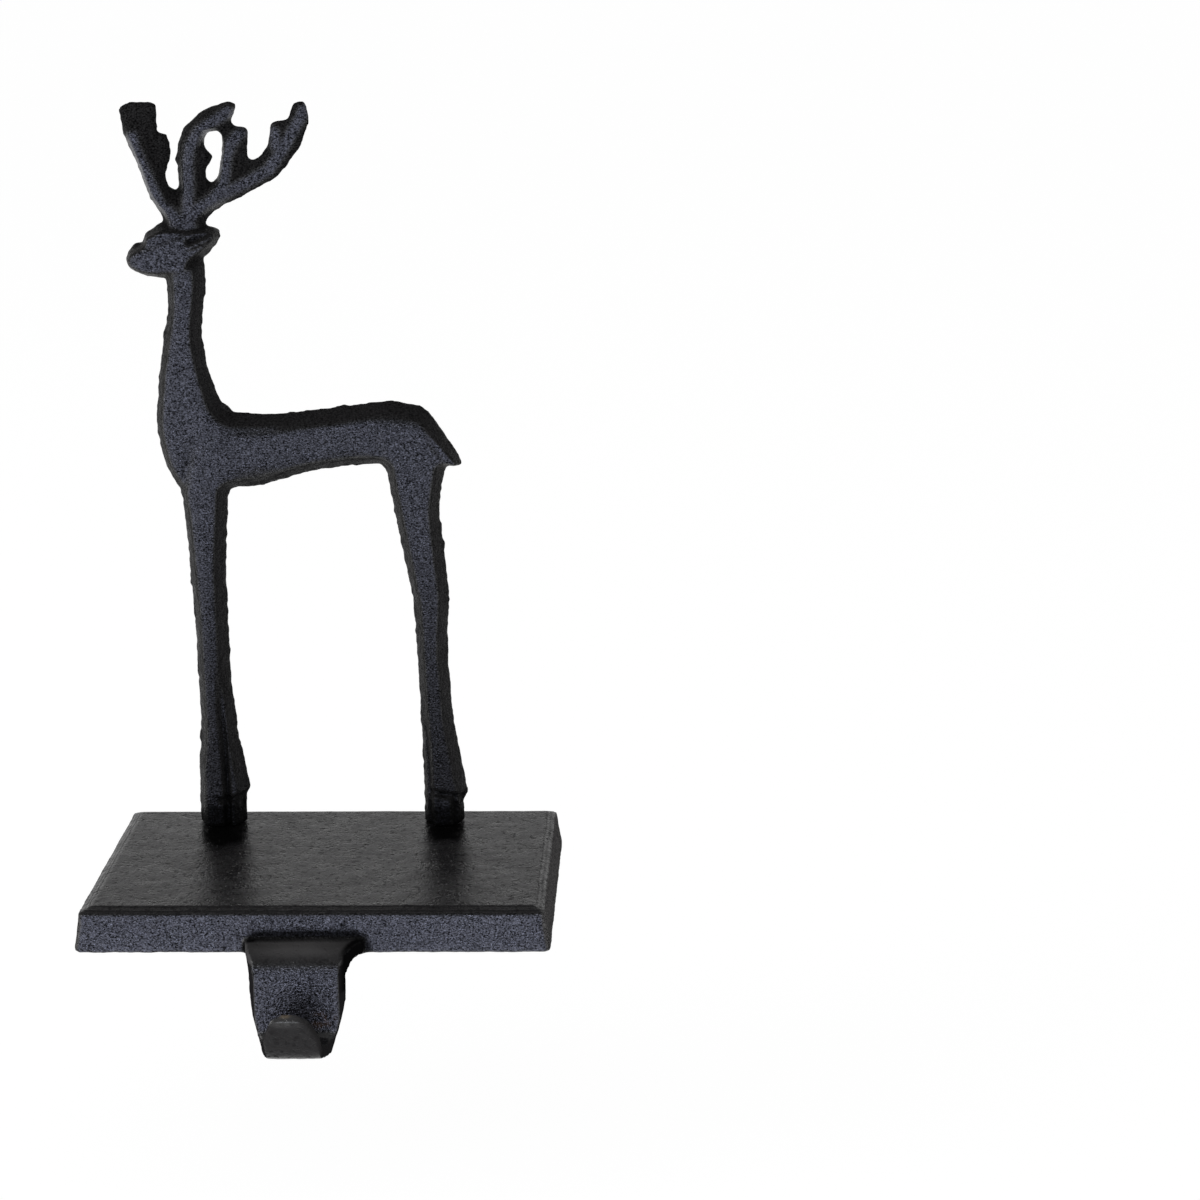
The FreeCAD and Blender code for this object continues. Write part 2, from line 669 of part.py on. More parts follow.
def make_reindeer():
    """The upper casting, standing on the plate's top with its feet cut flat."""
    pose = ReindeerAnchors()
    outlines = {
        "body": [body_corners(pose)],
        "neck": [neck_corners(pose)],
        "head": [head_corners(pose)],
        "antler": [antler_corners(pose), antler_window(pose)],
    }
    reliefs = []
    for part, loops in outlines.items():
        rim = 0.0 if part == "antler" else size("rim_rounding")
        shape = relief(loops, size(f"{part}_thickness"), size(f"{part}_edge_slope"), rim)
        reliefs.append(shape_feature(f"{part}_relief", shape))
    casting = combine("MultiFuse", "reindeer_casting", reliefs)
    ground = doc.addObject("Part::Box", "ground_off")
    bind(ground, Length="dims.plate_width", Width="dims.plate_depth", Height=PLATE_TOP,
         Placement__Base__x="-dims.plate_width / 2", Placement__Base__y="-dims.plate_depth / 2")
    holes = [make_foot_hole("front", pose.front_foot), make_foot_hole("rear", pose.rear_foot)]
    cutters = [ground] + holes + make_leg_grooves(pose) + make_ear_hollows(pose)
    item = cut("reindeer", casting, combine("MultiFuse", "reindeer_cutters", cutters))
    bind(item, Placement__Base__y=FIGURE_DEPTH)
    item.Label = "reindeer"
    return item


# Foot screws


def screw_profile():
    """Half of a pan head screw, across and up from the middle of its head's outer face."""
    head = size("screw_head_diameter") / 2.0
    shank = size("screw_diameter") / 2.0
    seat = size("screw_head_height")
    end = size("plate_wall_height") + size("edge_bevel_height") + size("screw_bite") - size("screw_recess")
    crown = 0.4 * seat
    return [(0.0, 0.0), (head - crown, 0.0), (head, crown), (head, seat), (shank, seat), (shank, end),
            (0.0, end)]


def line_sketch(body, name, plane, points):
    """A closed run of lines on one of a body's origin planes."""
    sketch = body.newObject("Sketcher::SketchObject", name)
    sketch.AttachmentSupport = [(origin_plane(body, plane), "")]
    sketch.MapMode = "FlatFace"
    places = [Vector(across, up, 0) for across, up in points]
    sketch.addGeometry([Part.LineSegment(*ends) for ends in zip(places, places[1:] + places[:1])])
    for line in range(len(points)):
        sketch.addConstraint(Constraint("Coincident", line, 2, (line + 1) % len(points), 1))
    return sketch


def make_foot_screw(name, offset):
    """A pan head screw with a cross recess, driven up through the plate into one foot."""
    body = doc.addObject("PartDesign::Body", name)
    turned = body.newObject("PartDesign::Revolution", f"{name}_turned")
    turned.Profile = line_sketch(body, f"{name}_profile", "XZ_Plane", screw_profile())
    turned.ReferenceAxis = (turned.Profile[0], ["V_Axis"])
    turned.Angle = 360
    doc.recompute()
    slot = 0.09 * size("screw_head_diameter")
    arm = 0.29 * size("screw_head_diameter")
    cross = [(slot, slot), (arm, slot), (arm, -slot), (slot, -slot), (slot, -arm), (-slot, -arm),
             (-slot, -slot), (-arm, -slot), (-arm, slot), (-slot, slot), (-slot, arm), (slot, arm)]
    recess = body.newObject("PartDesign::Pocket", f"{name}_recess")
    recess.Profile = line_sketch(body, f"{name}_cross", "XY_Plane", cross)
    recess.Reversed = True
    bind(recess, Length="0.55 * dims.screw_head_height")
    bind(body, Placement__Base__x=f"dims.{offset}", Placement__Base__y=FIGURE_DEPTH,
         Placement__Base__z="dims.screw_recess")
    body.Label = name
    doc.recompute()
    if recess.Shape.Volume >= turned.Shape.Volume:
        raise RuntimeError(f"{name}: the recess cuts nothing")
    return body


def export(items):
    """Check every object of the document and write each sub-part to its own file."""
    doc.recompute()
    for item in doc.Objects:
        if {"Invalid", "Error"} & set(item.State):
            raise RuntimeError(f"{item.Name} failed: {item.State}")
    os.makedirs("parts", exist_ok=True)
    for item in items:
        shape = item.Shape
        if shape.isNull() or not shape.isValid():
            raise RuntimeError(f"{item.Label} has no valid shape")
        shape.exportStep(f"parts/{item.Label}.step")
        print(item.Label, "solids", len(shape.Solids), "volume", round(shape.Volume))


def main():
    """Model the four pieces and write them out."""
    pieces = [make_hook_base(), make_reindeer()]
    for end in ("front", "rear"):
        pieces.append(make_foot_screw(f"foot_screw_{end}", f"{end}_leg_offset"))
    export(pieces)


main()
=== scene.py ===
"""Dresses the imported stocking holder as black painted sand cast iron, in a plain white studio.

Every length in this file is in millimetres, and is turned into metres where Blender takes metres. The
frame is the part's own: +Z up, the hook towards -Y, the deer looking to -X.
"""

from __future__ import annotations

import logging
import math
from abc import ABC, abstractmethod
from dataclasses import dataclass
from enum import Enum

import bmesh
import bpy
import numpy as np
from mathutils import Matrix, Vector

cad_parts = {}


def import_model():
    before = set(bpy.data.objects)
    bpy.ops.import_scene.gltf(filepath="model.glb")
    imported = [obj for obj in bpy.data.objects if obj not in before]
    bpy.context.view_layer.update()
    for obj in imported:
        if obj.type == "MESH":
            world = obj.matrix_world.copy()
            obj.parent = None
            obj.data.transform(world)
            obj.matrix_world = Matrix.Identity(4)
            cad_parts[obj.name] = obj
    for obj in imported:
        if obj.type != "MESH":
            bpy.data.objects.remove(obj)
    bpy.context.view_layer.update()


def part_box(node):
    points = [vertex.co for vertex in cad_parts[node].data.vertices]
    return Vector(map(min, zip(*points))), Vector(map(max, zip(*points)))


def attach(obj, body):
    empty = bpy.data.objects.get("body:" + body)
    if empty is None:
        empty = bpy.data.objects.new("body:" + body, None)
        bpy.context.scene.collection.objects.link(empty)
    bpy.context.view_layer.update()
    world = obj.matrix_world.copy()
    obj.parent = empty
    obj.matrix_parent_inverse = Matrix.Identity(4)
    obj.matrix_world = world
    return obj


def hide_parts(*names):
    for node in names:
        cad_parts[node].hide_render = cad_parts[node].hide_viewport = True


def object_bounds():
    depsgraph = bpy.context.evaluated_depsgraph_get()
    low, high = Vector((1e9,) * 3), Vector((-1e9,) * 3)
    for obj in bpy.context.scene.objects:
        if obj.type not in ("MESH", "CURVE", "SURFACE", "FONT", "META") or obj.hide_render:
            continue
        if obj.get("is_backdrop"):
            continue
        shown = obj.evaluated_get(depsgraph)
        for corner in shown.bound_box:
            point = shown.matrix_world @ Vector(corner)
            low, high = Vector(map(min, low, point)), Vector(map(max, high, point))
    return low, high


LOG = logging.getLogger("stocking_holder")
METRE = 1000.0

Array = np.ndarray
Socket = bpy.types.NodeSocket
Colour = tuple[float, float, float]
Place = tuple[float, float, float]
Spot = tuple[float, float]
Range = tuple[float, float]
Path2D = tuple[Spot, ...]

WHITE: Colour = (1.0, 1.0, 1.0)


class Region(Enum):
    """Names of the vertex attributes that the finishes read, of which some carry painted shade, light and
    sheen.
    """

    GRAIN = "grain"
    # Painted shade in the hollows.
    HOLLOW_SHADE = "hollow"
    GROUND = "ground"
    BARE = "bare"
    RUST = "rust"
    # Gloss, with painted shadow in its near black round the feet and low on the hoofs.
    GLOSS_AND_SHADE = "gloss_and_shade"
    # Painted shade: the sheen taken off and a matt grey colour.
    PAINTED_SHADE = "painted_shading"
    # Painted light: a paler grey.
    BLOOM = "painted_light"
    # Painted bluish sheen.
    PAINTED_SHEEN = "painted_sheen"
    EDGE = "edge"


class Noise:
    """Seeded gradient noise in three dimensions."""

    LATTICE = 256
    GAIN = 1.6
    LAYER_SHIFT = 17.3

    def __init__(self, seed: int) -> None:
        """Deals out the lattice directions.

        Args:
            seed: number that fixes the pattern.
        """
        dealer = np.random.default_rng(seed)
        self.order = np.tile(dealer.permutation(self.LATTICE), 3)
        directions = dealer.normal(size=(self.LATTICE, 3))
        self.directions = directions / np.linalg.norm(directions, axis=1, keepdims=True)

    def at(self, points: Array, wavelength: float) -> Array:
        """Noise value at each point, about -1 to 1.

        Each of the eight lattice corners round a point gives the dot product of its own direction with
        the way from the corner to the point, and the eight are mixed by 6t^5 - 15t^4 + 10t^3.

        Args:
            points: places, one row each.
            wavelength: size of one lattice cell.

        Returns:
            One value for each point.
        """
        cells = points / wavelength
        corner = np.floor(cells).astype(int)
        offset = cells - corner
        fade = offset**3 * (offset * (6.0 * offset - 15.0) + 10.0)
        total = np.zeros(len(points))
        for step in np.ndindex(2, 2, 2):
            place = (corner + step) % self.LATTICE
            number = self.order[self.order[self.order[place[:, 0]] + place[:, 1]] + place[:, 2]]
            value = np.einsum("ij,ij->i", self.directions[number], offset - step)
            share = np.prod(np.where(step, fade, 1.0 - fade), axis=1)
            total += value * share
        return self.GAIN * total

    def layers(self, points: Array, wavelength: float, count: int) -> Array:
        """Sum of several layers of noise, each half as long and half as high as the one before."""
        return sum(self.at(points + self.LAYER_SHIFT * n, wavelength / 2**n) / 2**n for n in range(count))


def bump(distance: Array, reach: float) -> Array:
    """Smooth hill, 1 in the middle and 0 from the reach outwards: (1 - (d / r)^2)^2."""
    return np.clip(1.0 - (distance / reach) ** 2, 0.0, 1.0) ** 2


def ramp(value: Array, low: float, high: float) -> Array:
    """Smooth step from 0 at low to 1 at high: 3t^2 - 2t^3."""
    share = np.clip((value - low) / (high - low), 0.0, 1.0)
    return share * share * (3.0 - 2.0 * share)


def path_distance(flat: Array, path: Path2D) -> tuple[Array, Array]:
    """Distance of each flat point from a path of straight runs, and how far along the path it lies.

    Args:
        flat: places in a plane, one row each.
        path: corners of the path.

    Returns:
        For each point the distance to the nearest run, which is the length of what is left after the
        part along the run, and the share of the path that lies before that place, 0 to 1.
    """
    nearest = np.full(len(flat), np.inf)
    share = np.zeros(len(flat))
    runs = np.diff(np.array(path), axis=0)
    lengths = np.linalg.norm(runs, axis=1)
    before = 0.0
    for start, run, length in zip(path, runs, lengths):
        away = flat - start
        along = np.clip(away @ run / length**2, 0.0, 1.0)
        distance = np.linalg.norm(away - along[:, None] * run, axis=1)
        closer = distance < nearest
        nearest = np.where(closer, distance, nearest)
        share = np.where(closer, (before + along * length) / lengths.sum(), share)
        before += length
    return nearest, share


@dataclass(frozen=True)
class Mark:
    """A ridge or a crease on a face: a path with a height and a reach, fading in over its start."""

    path: Path2D
    height: float
    reach: float
    fade: float = 0.0

    def lift(self, flat: Array) -> Array:
        """Height at each flat point: a smooth hill across the path, times the fade along it."""
        distance, share = path_distance(flat, self.path)
        return self.height * bump(distance, self.reach) * (ramp(share, 0.0, self.fade) if self.fade else 1.0)


@dataclass(frozen=True)
class Swelling:
    """A soft rise on a face, with a reach across and a reach upwards."""

    middle: Spot
    reach: Spot
    height: float

    def lift(self, flat: Array) -> Array:
        """Height at each flat point: a smooth hill over the distance in shares of the reach."""
        away = np.linalg.norm((flat - self.middle) / self.reach, axis=1)
        return self.height * bump(away, 1.0)


@dataclass(kw_only=True)
class Skin:
    """Closed surface of quads, in millimetres."""

    MERGE_DISTANCE = 0.001
    HOLLOW_PULL = 0.6

    points: Array
    quads: Array

    @classmethod
    def of_node(cls, source: bpy.types.Object, pitch: float) -> Skin:
        """Even mesh of quads over a copy of a CAD node.

        Args:
            source: the CAD node, which stays as it is.
            pitch: side of a quad.

        Returns:
            The skin of the node.
        """
        mesh = source.data.copy()
        work = bmesh.new()
        work.from_mesh(mesh)
        bmesh.ops.remove_doubles(work, verts=work.verts, dist=cls.MERGE_DISTANCE / METRE)
        work.to_mesh(mesh)
        work.free()
        holder = bpy.data.objects.new("skin_source", mesh)
        bpy.context.scene.collection.objects.link(holder)
        remesh = holder.modifiers.new("even_quads", "REMESH")
        remesh.mode = "VOXEL"
        remesh.voxel_size = pitch / METRE
        graph = bpy.context.evaluated_depsgraph_get()
        even = holder.evaluated_get(graph).to_mesh()
        points = np.zeros(len(even.vertices) * 3, np.float32)
        even.vertices.foreach_get("co", points)
        corners = np.zeros(len(even.loops), np.int32)
        even.loops.foreach_get("vertex_index", corners)
        holder.evaluated_get(graph).to_mesh_clear()
        bpy.data.objects.remove(holder)
        bpy.data.meshes.remove(mesh)
        return cls(points=points.reshape(-1, 3).astype(float) * METRE, quads=corners.reshape(-1, 4))

    def neighbours(self) -> tuple[Array, Array, Array]:
        """Pairs of points that share an edge.

        Returns:
            Both ends of every edge, each way round, and how many edges meet at each point.
        """
        ring = np.stack([self.quads, np.roll(self.quads, -1, axis=1)], axis=2).reshape(-1, 2)
        first, second = np.unique(np.sort(ring, axis=1), axis=0).T
        starts = np.concatenate([first, second])
        ends = np.concatenate([second, first])
        return starts, ends, np.bincount(starts, minlength=len(self.points)).astype(float)

    def relaxed(self, rounds: int, pull: float, axes: Place = (1.0, 1.0, 1.0)) -> Array:
        """Places of the points after smoothing.

        Args:
            rounds: how often each point moves.
            pull: share of the way towards the mean of its neighbours that it moves each time.
            axes: share of that movement that each axis takes.

        Returns:
            The smoothed places.
        """
        starts, ends, count = self.neighbours()
        points = self.points.copy()
        share = pull * np.array(axes)
        for _ in range(rounds):
            total = [np.bincount(starts, points[ends, axis], len(points)) for axis in range(3)]
            points += share * (np.stack(total, axis=1) / count[:, None] - points)
        return points

    def normals(self) -> Array:
        """Way that the surface faces.

        Returns:
            Unit normal at each point: the sum of the cross products of its quads' diagonals.
        """
        corner = self.points[self.quads]
        facing = np.cross(corner[:, 2] - corner[:, 0], corner[:, 3] - corner[:, 1])
        owners = self.quads.ravel()
        sums = [np.bincount(owners, np.repeat(facing[:, axis], 4), len(self.points)) for axis in range(3)]
        total = np.stack(sums, axis=1)
        return total / np.maximum(np.linalg.norm(total, axis=1, keepdims=True), 1e-9)

    def hollows(self, rounds: int, full: float) -> Array:
        """How deep each point lies in a hollow, 0 to 1.

        Args:
            rounds: rounds of smoothing that the surface is set against.
            full: depth that counts as 1.

        Returns:
            Distance that smoothing lifts a point along its normal, as a share of the full depth.
        """
        moved = self.relaxed(rounds, self.HOLLOW_PULL) - self.points
        return np.clip(np.einsum("ij,ij->i", moved, self.normals()) / full, 0.0, 1.0)

    def shares_from(self, middle: Place, size: Place) -> Array:
        """Distance of each point from a middle, with each axis in shares of its own size."""
        return np.linalg.norm((self.points - middle) / size, axis=1)

    def mesh(self, name: str, regions: dict[Region, Array]) -> bpy.types.Mesh:
        """Blender mesh of the skin, in metres.

        Args:
            name: name of the mesh.
            regions: one value for each region and point.

        Returns:
            The mesh, smooth, with one attribute for each region.
        """
        made = bpy.data.meshes.new(name)
        made.from_pydata(self.points / METRE, [], self.quads)
        made.polygons.foreach_set("use_smooth", np.ones(len(self.quads), bool))
        for region, values in regions.items():
            layer = made.attributes.new(region.value, "FLOAT", "POINT")
            layer.data.foreach_set("value", values.astype(np.float32))
        made.update()
        return made


@dataclass(frozen=True)
class Pattern:
    """Noise of a length, with its detail and the range of its values that is spread out."""

    length: float
    detail: float
    span: Range = (0.3, 0.7)


class Nodes:
    """Node tree of a material or a world, written one small step at a time."""

    def __init__(self, tree: bpy.types.NodeTree) -> None:
        """Takes the tree that the steps go into."""
        self.tree = tree

    def place(self) -> Socket:
        """Object coordinates."""
        return self.tree.nodes.new("ShaderNodeTexCoord").outputs["Object"]

    def region(self, item: Region) -> Socket:
        """Reads one region.

        Args:
            item: the region.

        Returns:
            Its value on the piece.
        """
        node = self.tree.nodes.new("ShaderNodeAttribute")
        node.attribute_name = item.value
        return node.outputs["Fac"]

    def noise(self, place: Socket, length: float, detail: float) -> Socket:
        """Lays noise over a piece.

        Args:
            place: coordinates.
            length: length of the noise.
            detail: how many finer layers it has.

        Returns:
            Noise of 0 to 1.
        """
        node = self.tree.nodes.new("ShaderNodeTexNoise")
        node.inputs["Scale"].default_value = METRE / length
        node.inputs["Detail"].default_value = detail
        self.tree.links.new(place, node.inputs["Vector"])
        return node.outputs["Fac"]

    def spread(self, place: Socket, pattern: Pattern, low: float, high: float) -> Socket:
        """A pattern's noise, its span spread from low to high."""
        return self.scaled(self.noise(place, pattern.length, pattern.detail), pattern.span, (low, high))

    def stretched(self, place: Socket, scale: Place) -> Socket:
        """Stretches a pattern along the axes with a small scale.

        Args:
            place: coordinates.
            scale: number that each axis is multiplied by.

        Returns:
            The multiplied coordinates.
        """
        node = self.tree.nodes.new("ShaderNodeMapping")
        node.inputs["Scale"].default_value = scale
        self.tree.links.new(place, node.inputs["Vector"])
        return node.outputs["Vector"]

    def scaled(self, value: Socket, source: Range, target: Range = (0.0, 1.0)) -> Socket:
        """Moves a value from one range to another.

        Args:
            value: the value.
            source: range that it comes from.
            target: range that it goes to.

        Returns:
            The moved value, held inside the target.
        """
        node = self.tree.nodes.new("ShaderNodeMapRange")
        for socket, number in zip(("From Min", "From Max", "To Min", "To Max"), (*source, *target)):
            node.inputs[socket].default_value = number
        self.tree.links.new(value, node.inputs["Value"])
        return node.outputs["Result"]

    def mix(self, share: Socket, first: Socket | Colour, second: Socket | Colour) -> Socket:
        """Mixes two colours.

        Args:
            share: share of the second.
            first: the first colour.
            second: the second colour.

        Returns:
            The mixed colour.
        """
        node = self.tree.nodes.new("ShaderNodeMix")
        node.data_type = "RGBA"
        self.tree.links.new(share, node.inputs[0])
        for socket, colour in ((node.inputs[6], first), (node.inputs[7], second)):
            if isinstance(colour, tuple):
                socket.default_value = (*colour, 1.0)
            else:
                self.tree.links.new(colour, socket)
        return node.outputs[2]

    def math(self, operation: str, *values: Socket | float) -> Socket:
        """Does one step of arithmetic.

        Args:
            operation: Blender's name of the step.
            values: sockets and numbers that go into it.

        Returns:
            The result.
        """
        node = self.tree.nodes.new("ShaderNodeMath")
        node.operation = operation
        for socket, value in zip(node.inputs, values):
            if isinstance(value, float):
                socket.default_value = value
            else:
                self.tree.links.new(value, socket)
        return node.outputs["Value"]

    def ladder(self, way: Socket, steps: Path2D, reach: float) -> Socket:
        """Value that changes along a way, straight from step to step.

        Args:
            way: share of the reach.
            steps: a distance and a value for each step.
            reach: distance at the end of the way.

        Returns:
            The value.
        """
        lowest = min(value for _, value in steps)
        node = self.tree.nodes.new("ShaderNodeValToRGB")
        stops = node.color_ramp.elements
        while len(stops) < len(steps):
            stops.new(1.0)
        for stop, (distance, value) in zip(stops, steps):
            stop.position = distance / reach
            stop.color = (value - lowest, value - lowest, value - lowest, 1.0)
        self.tree.links.new(way, node.inputs["Fac"])
        return self.math("ADD", node.outputs["Color"], lowest)


@dataclass(frozen=True)
class PaintedIron:
    """Black paint over sand cast iron.

    The size of a glint and the share of the fine grain are counted from the grain's own length and
    height. The bevel's steps and its painted sheen bands, lines of painted highlight and shade, are
    pairs of a distance from its outer edge and a value there.
    """

    paint: Colour
    roughness: float
    grain_length: float
    grain_height: float
    fine_grain: float = 0.55
    grain_stretch: Place = (0.85, 0.85, 1.15)
    specular: float = 0.8
    glint: float = 0.95
    glint_size: float = 0.62
    glint_detail: float = 1.5
    glint_span: Range = (0.33, 0.67)
    glint_in_paint: float = 0.5
    pit_height: float = 0.0
    pits: Pattern = Pattern(1.1, 1.0, (0.28, 0.4))
    specks: Pattern = Pattern(1.5, 1.0, (0.32, 0.45))
    waves: Pattern = Pattern(7.0, 3.0)
    wave_height: float = 0.025
    patches: Pattern = Pattern(3.0, 3.0)
    patch_roughness: float = 0.06
    gloss_roughness: float = 0.2
    scratches: Pattern = Pattern(0.7, 2.0)
    scratch_stretch: Place = (1.0, 1.0, 0.05)
    scratch_height: float = 0.4
    # Share of painted shade where the sheen is taken off.
    painted_shade_share: float = 1.0
    # Share of painted shade in the hollows.
    hollow_shade_share: float = 0.9
    # Share of painted shadow in the glossy pools and on the hoofs.
    gloss_shade_share: float = 0.98
    # Tint of the painted bluish sheen.
    painted_sheen_tint: Colour = (0.75, 0.78, 1.0)
    # Matt grey of the painted shade.
    painted_shade_colour: Colour = (0.038, 0.036, 0.038)
    # Paler grey of the painted light.
    painted_light_colour: Colour = (0.16, 0.155, 0.155)
    # Near black: the dark end of the grain's tone, and the painted shade and shadow.
    near_black_and_shade: Colour = (0.0025, 0.0025, 0.0025)
    ground_paint: Colour = (0.016, 0.017, 0.021)
    bare_metal: Colour = (0.34, 0.27, 0.19)
    rust: Colour = (0.06, 0.030, 0.012)
    bevel_reach: float = 3.6
    bevel_sway: float = 0.22
    bevel_sway_pattern: Pattern = Pattern(6.0, 3.0)
    bevel_still: float = 0.2
    bevel_steps: Path2D = ((0.0, 0.0), (1.3, 0.16), (1.7, 0.06), (2.0, 0.04), (2.4, -0.1), (2.9, 0.0))
    # Painted highlight and shade: the sheen in bands across the bevel.
    bevel_painted_sheen: Path2D = (
        (0.0, 1.0),
        (0.2, 0.3),
        (0.6, 1.2),
        (1.2, 0.3),
        (1.75, 1.7),
        (2.3, 0.25),
        (2.9, 1.0),
    )

    def material(self, name: str) -> bpy.types.Material:
        """Builds the material.

        Args:
            name: name of the material.

        Returns:
            Paint with painted shade on the slopes and in the hollows, painted light as a paler grey, a
            painted bluish sheen on the upright faces, and near black painted shadow in the glossy pools of
            thick paint and on the hoofs, with grinding, bare metal and rust where the regions say, over a
            fine glinting grain, the steps and painted sheen bands of the bevel, and pits where the finish
            has them.
        """
        made = bpy.data.materials.new(name)
        made.use_nodes = True
        nodes = Nodes(made.node_tree)
        shader = made.node_tree.nodes["Principled BSDF"]
        place = nodes.place()
        region = {item: nodes.region(item) for item in Region}
        bevel = self.bevel_way(nodes, place, region[Region.EDGE])
        spark = self.spark(nodes, place, region[Region.GRAIN])
        # Painted shade: share of near black in the hollows.
        hollow = nodes.math("MULTIPLY", region[Region.HOLLOW_SHADE], self.hollow_shade_share)
        # Painted shadow and shade: share of near black in the glossy pools and low on the hoofs.
        wet_and_shaded = nodes.math("MULTIPLY", region[Region.GLOSS_AND_SHADE], self.gloss_shade_share)
        deep = nodes.math("MAXIMUM", hollow, wet_and_shaded)

        # Painted shade: the sheen comes off the slopes and the faces that turn from the light.
        painted_shading = nodes.math("MULTIPLY", region[Region.PAINTED_SHADE], self.painted_shade_share)
        sheen = nodes.math("SUBTRACT", 1.0, nodes.math("MAXIMUM", painted_shading, deep))
        # Painted highlight and shade in bands across the bevel's sheen.
        sheen = nodes.math("MULTIPLY", sheen, nodes.ladder(bevel, self.bevel_painted_sheen, self.bevel_reach))
        level = nodes.math("MULTIPLY", nodes.math("MULTIPLY", sheen, spark), self.specular)
        if self.pit_height:
            specks = nodes.spread(place, self.specks, -1.0, 0.0)
            specks = nodes.math("MULTIPLY_ADD", specks, region[Region.PAINTED_SHADE], 1.0)
            level = nodes.math("MULTIPLY", level, specks)
        inputs = {
            "Specular IOR Level": level,
            # Painted bluish sheen on the upright faces and the antler beams.
            "Specular Tint": nodes.mix(region[Region.PAINTED_SHEEN], WHITE, self.painted_sheen_tint),
            "Base Color": self.tone(nodes, region, deep, spark),
            "Metallic": region[Region.BARE],
            "Roughness": self.roughness_at(nodes, place, region[Region.GLOSS_AND_SHADE]),
            "Normal": self.normal(nodes, place, region, bevel),
        }
        for socket, value in inputs.items():
            made.node_tree.links.new(value, shader.inputs[socket])
        return made

    def spark(self, nodes: Nodes, place: Socket, share: Socket) -> Socket:
        """Glint of the single sand grains.

        Args:
            nodes: tree of the material.
            place: coordinates.
            share: how full the grain is.

        Returns:
            1 on average, and more and less by the glint where the grain is full.
        """
        drawn = nodes.stretched(place, self.grain_stretch)
        spots = Pattern(self.glint_size * self.grain_length, self.glint_detail, self.glint_span)
        return nodes.math("MULTIPLY_ADD", nodes.spread(drawn, spots, -self.glint, self.glint), share, 1.0)

    def tone(self, nodes: Nodes, region: dict[Region, Socket], deep: Socket, spark: Socket) -> Socket:
        """Colour of the paint and of what shows through it, with painted shade and painted light.

        Args:
            nodes: tree of the material.
            region: value of each region.
            deep: share of near black, painted shade in the hollows and painted shadow in the glossy pools
                and low on the hoofs.
            spark: glint of the grain.

        Returns:
            The colour.
        """
        half_spark = nodes.math("MULTIPLY", spark, self.glint_in_paint)
        # Painted shade: a matt grey where the sheen is taken off.
        tone = nodes.mix(region[Region.PAINTED_SHADE], self.paint, self.painted_shade_colour)
        tone = nodes.mix(half_spark, self.near_black_and_shade, tone)
        # Painted shade: near black in the hollows, the pools and low on the hoofs.
        tone = nodes.mix(deep, tone, self.near_black_and_shade)
        # Painted light: a paler grey where light falls, broken by the grain.
        tone = nodes.mix(nodes.math("MULTIPLY", half_spark, region[Region.BLOOM]), tone, self.painted_light_colour)
        tone = nodes.mix(region[Region.GROUND], tone, self.ground_paint)
        tone = nodes.mix(region[Region.RUST], tone, self.rust)
        return nodes.mix(region[Region.BARE], tone, self.bare_metal)

    def roughness_at(self, nodes: Nodes, place: Socket, gloss_and_shade: Socket) -> Socket:
        """Roughness in soft patches, lower on the glossy pools and hoofs.

        Args:
            nodes: tree of the material.
            place: coordinates.
            gloss_and_shade: how glossy the paint is; the same region paints shade into the colour.

        Returns:
            The roughness.
        """
        low, high = self.roughness - self.patch_roughness, self.roughness + self.patch_roughness
        shine = nodes.scaled(gloss_and_shade, (0.0, 1.0), (0.0, self.gloss_roughness - self.roughness))
        return nodes.math("ADD", nodes.spread(place, self.patches, low, high), shine)

    def normal(self, nodes: Nodes, place: Socket, region: dict[Region, Socket], bevel: Socket) -> Socket:
        """Fine relief of the surface.

        Args:
            nodes: tree of the material.
            place: coordinates.
            region: value of each region.
            bevel: way over the bevel.

        Returns:
            Normal over the grain, the scratches, the bevel's steps and any pits.
        """
        height = nodes.math("MULTIPLY", self.grain(nodes, place), region[Region.GRAIN])
        drawn = nodes.stretched(place, self.scratch_stretch)
        scratches = nodes.noise(drawn, self.scratches.length, self.scratches.detail)
        scratches = nodes.math("MULTIPLY", scratches, self.scratch_height)
        height = nodes.math("ADD", height, nodes.math("MULTIPLY", scratches, region[Region.GROUND]))
        height = nodes.math("ADD", height, nodes.ladder(bevel, self.bevel_steps, self.bevel_reach))
        if self.pit_height:
            pits = nodes.spread(place, self.pits, -self.pit_height, 0.0)
            waves = nodes.spread(place, self.waves, -self.wave_height, self.wave_height)
            height = nodes.math("ADD", height, nodes.math("ADD", pits, waves))
        relief = nodes.tree.nodes.new("ShaderNodeBump")
        relief.inputs["Distance"].default_value = 1.0 / METRE
        relief.inputs["Strength"].default_value = 1.0
        nodes.tree.links.new(height, relief.inputs["Height"])
        return relief.outputs["Normal"]

    def grain(self, nodes: Nodes, place: Socket) -> Socket:
        """Height of the sand grain.

        Args:
            nodes: tree of the material.
            place: coordinates.

        Returns:
            Two layers of noise, the second half as long, times the grain's height.
        """
        drawn = nodes.stretched(place, self.grain_stretch)
        coarse = nodes.noise(drawn, self.grain_length, 1.0)
        fine = nodes.noise(drawn, 0.5 * self.grain_length, 1.0)
        both = nodes.math("MULTIPLY_ADD", fine, self.fine_grain, coarse)
        return nodes.math("MULTIPLY", both, self.grain_height)

    def bevel_way(self, nodes: Nodes, place: Socket, inward: Socket) -> Socket:
        """Way over the bevel from its outer edge, swaying a little except at that edge.

        Args:
            nodes: tree of the material.
            place: coordinates.
            inward: distance from the outer edge.

        Returns:
            Share of the bevel's reach.
        """
        sway = nodes.spread(place, self.bevel_sway_pattern, -self.bevel_sway, self.bevel_sway)
        inside = nodes.scaled(inward, (0.0, self.bevel_still))
        swayed = nodes.math("MULTIPLY_ADD", sway, inside, inward)
        return nodes.scaled(swayed, (0.0, self.bevel_reach))


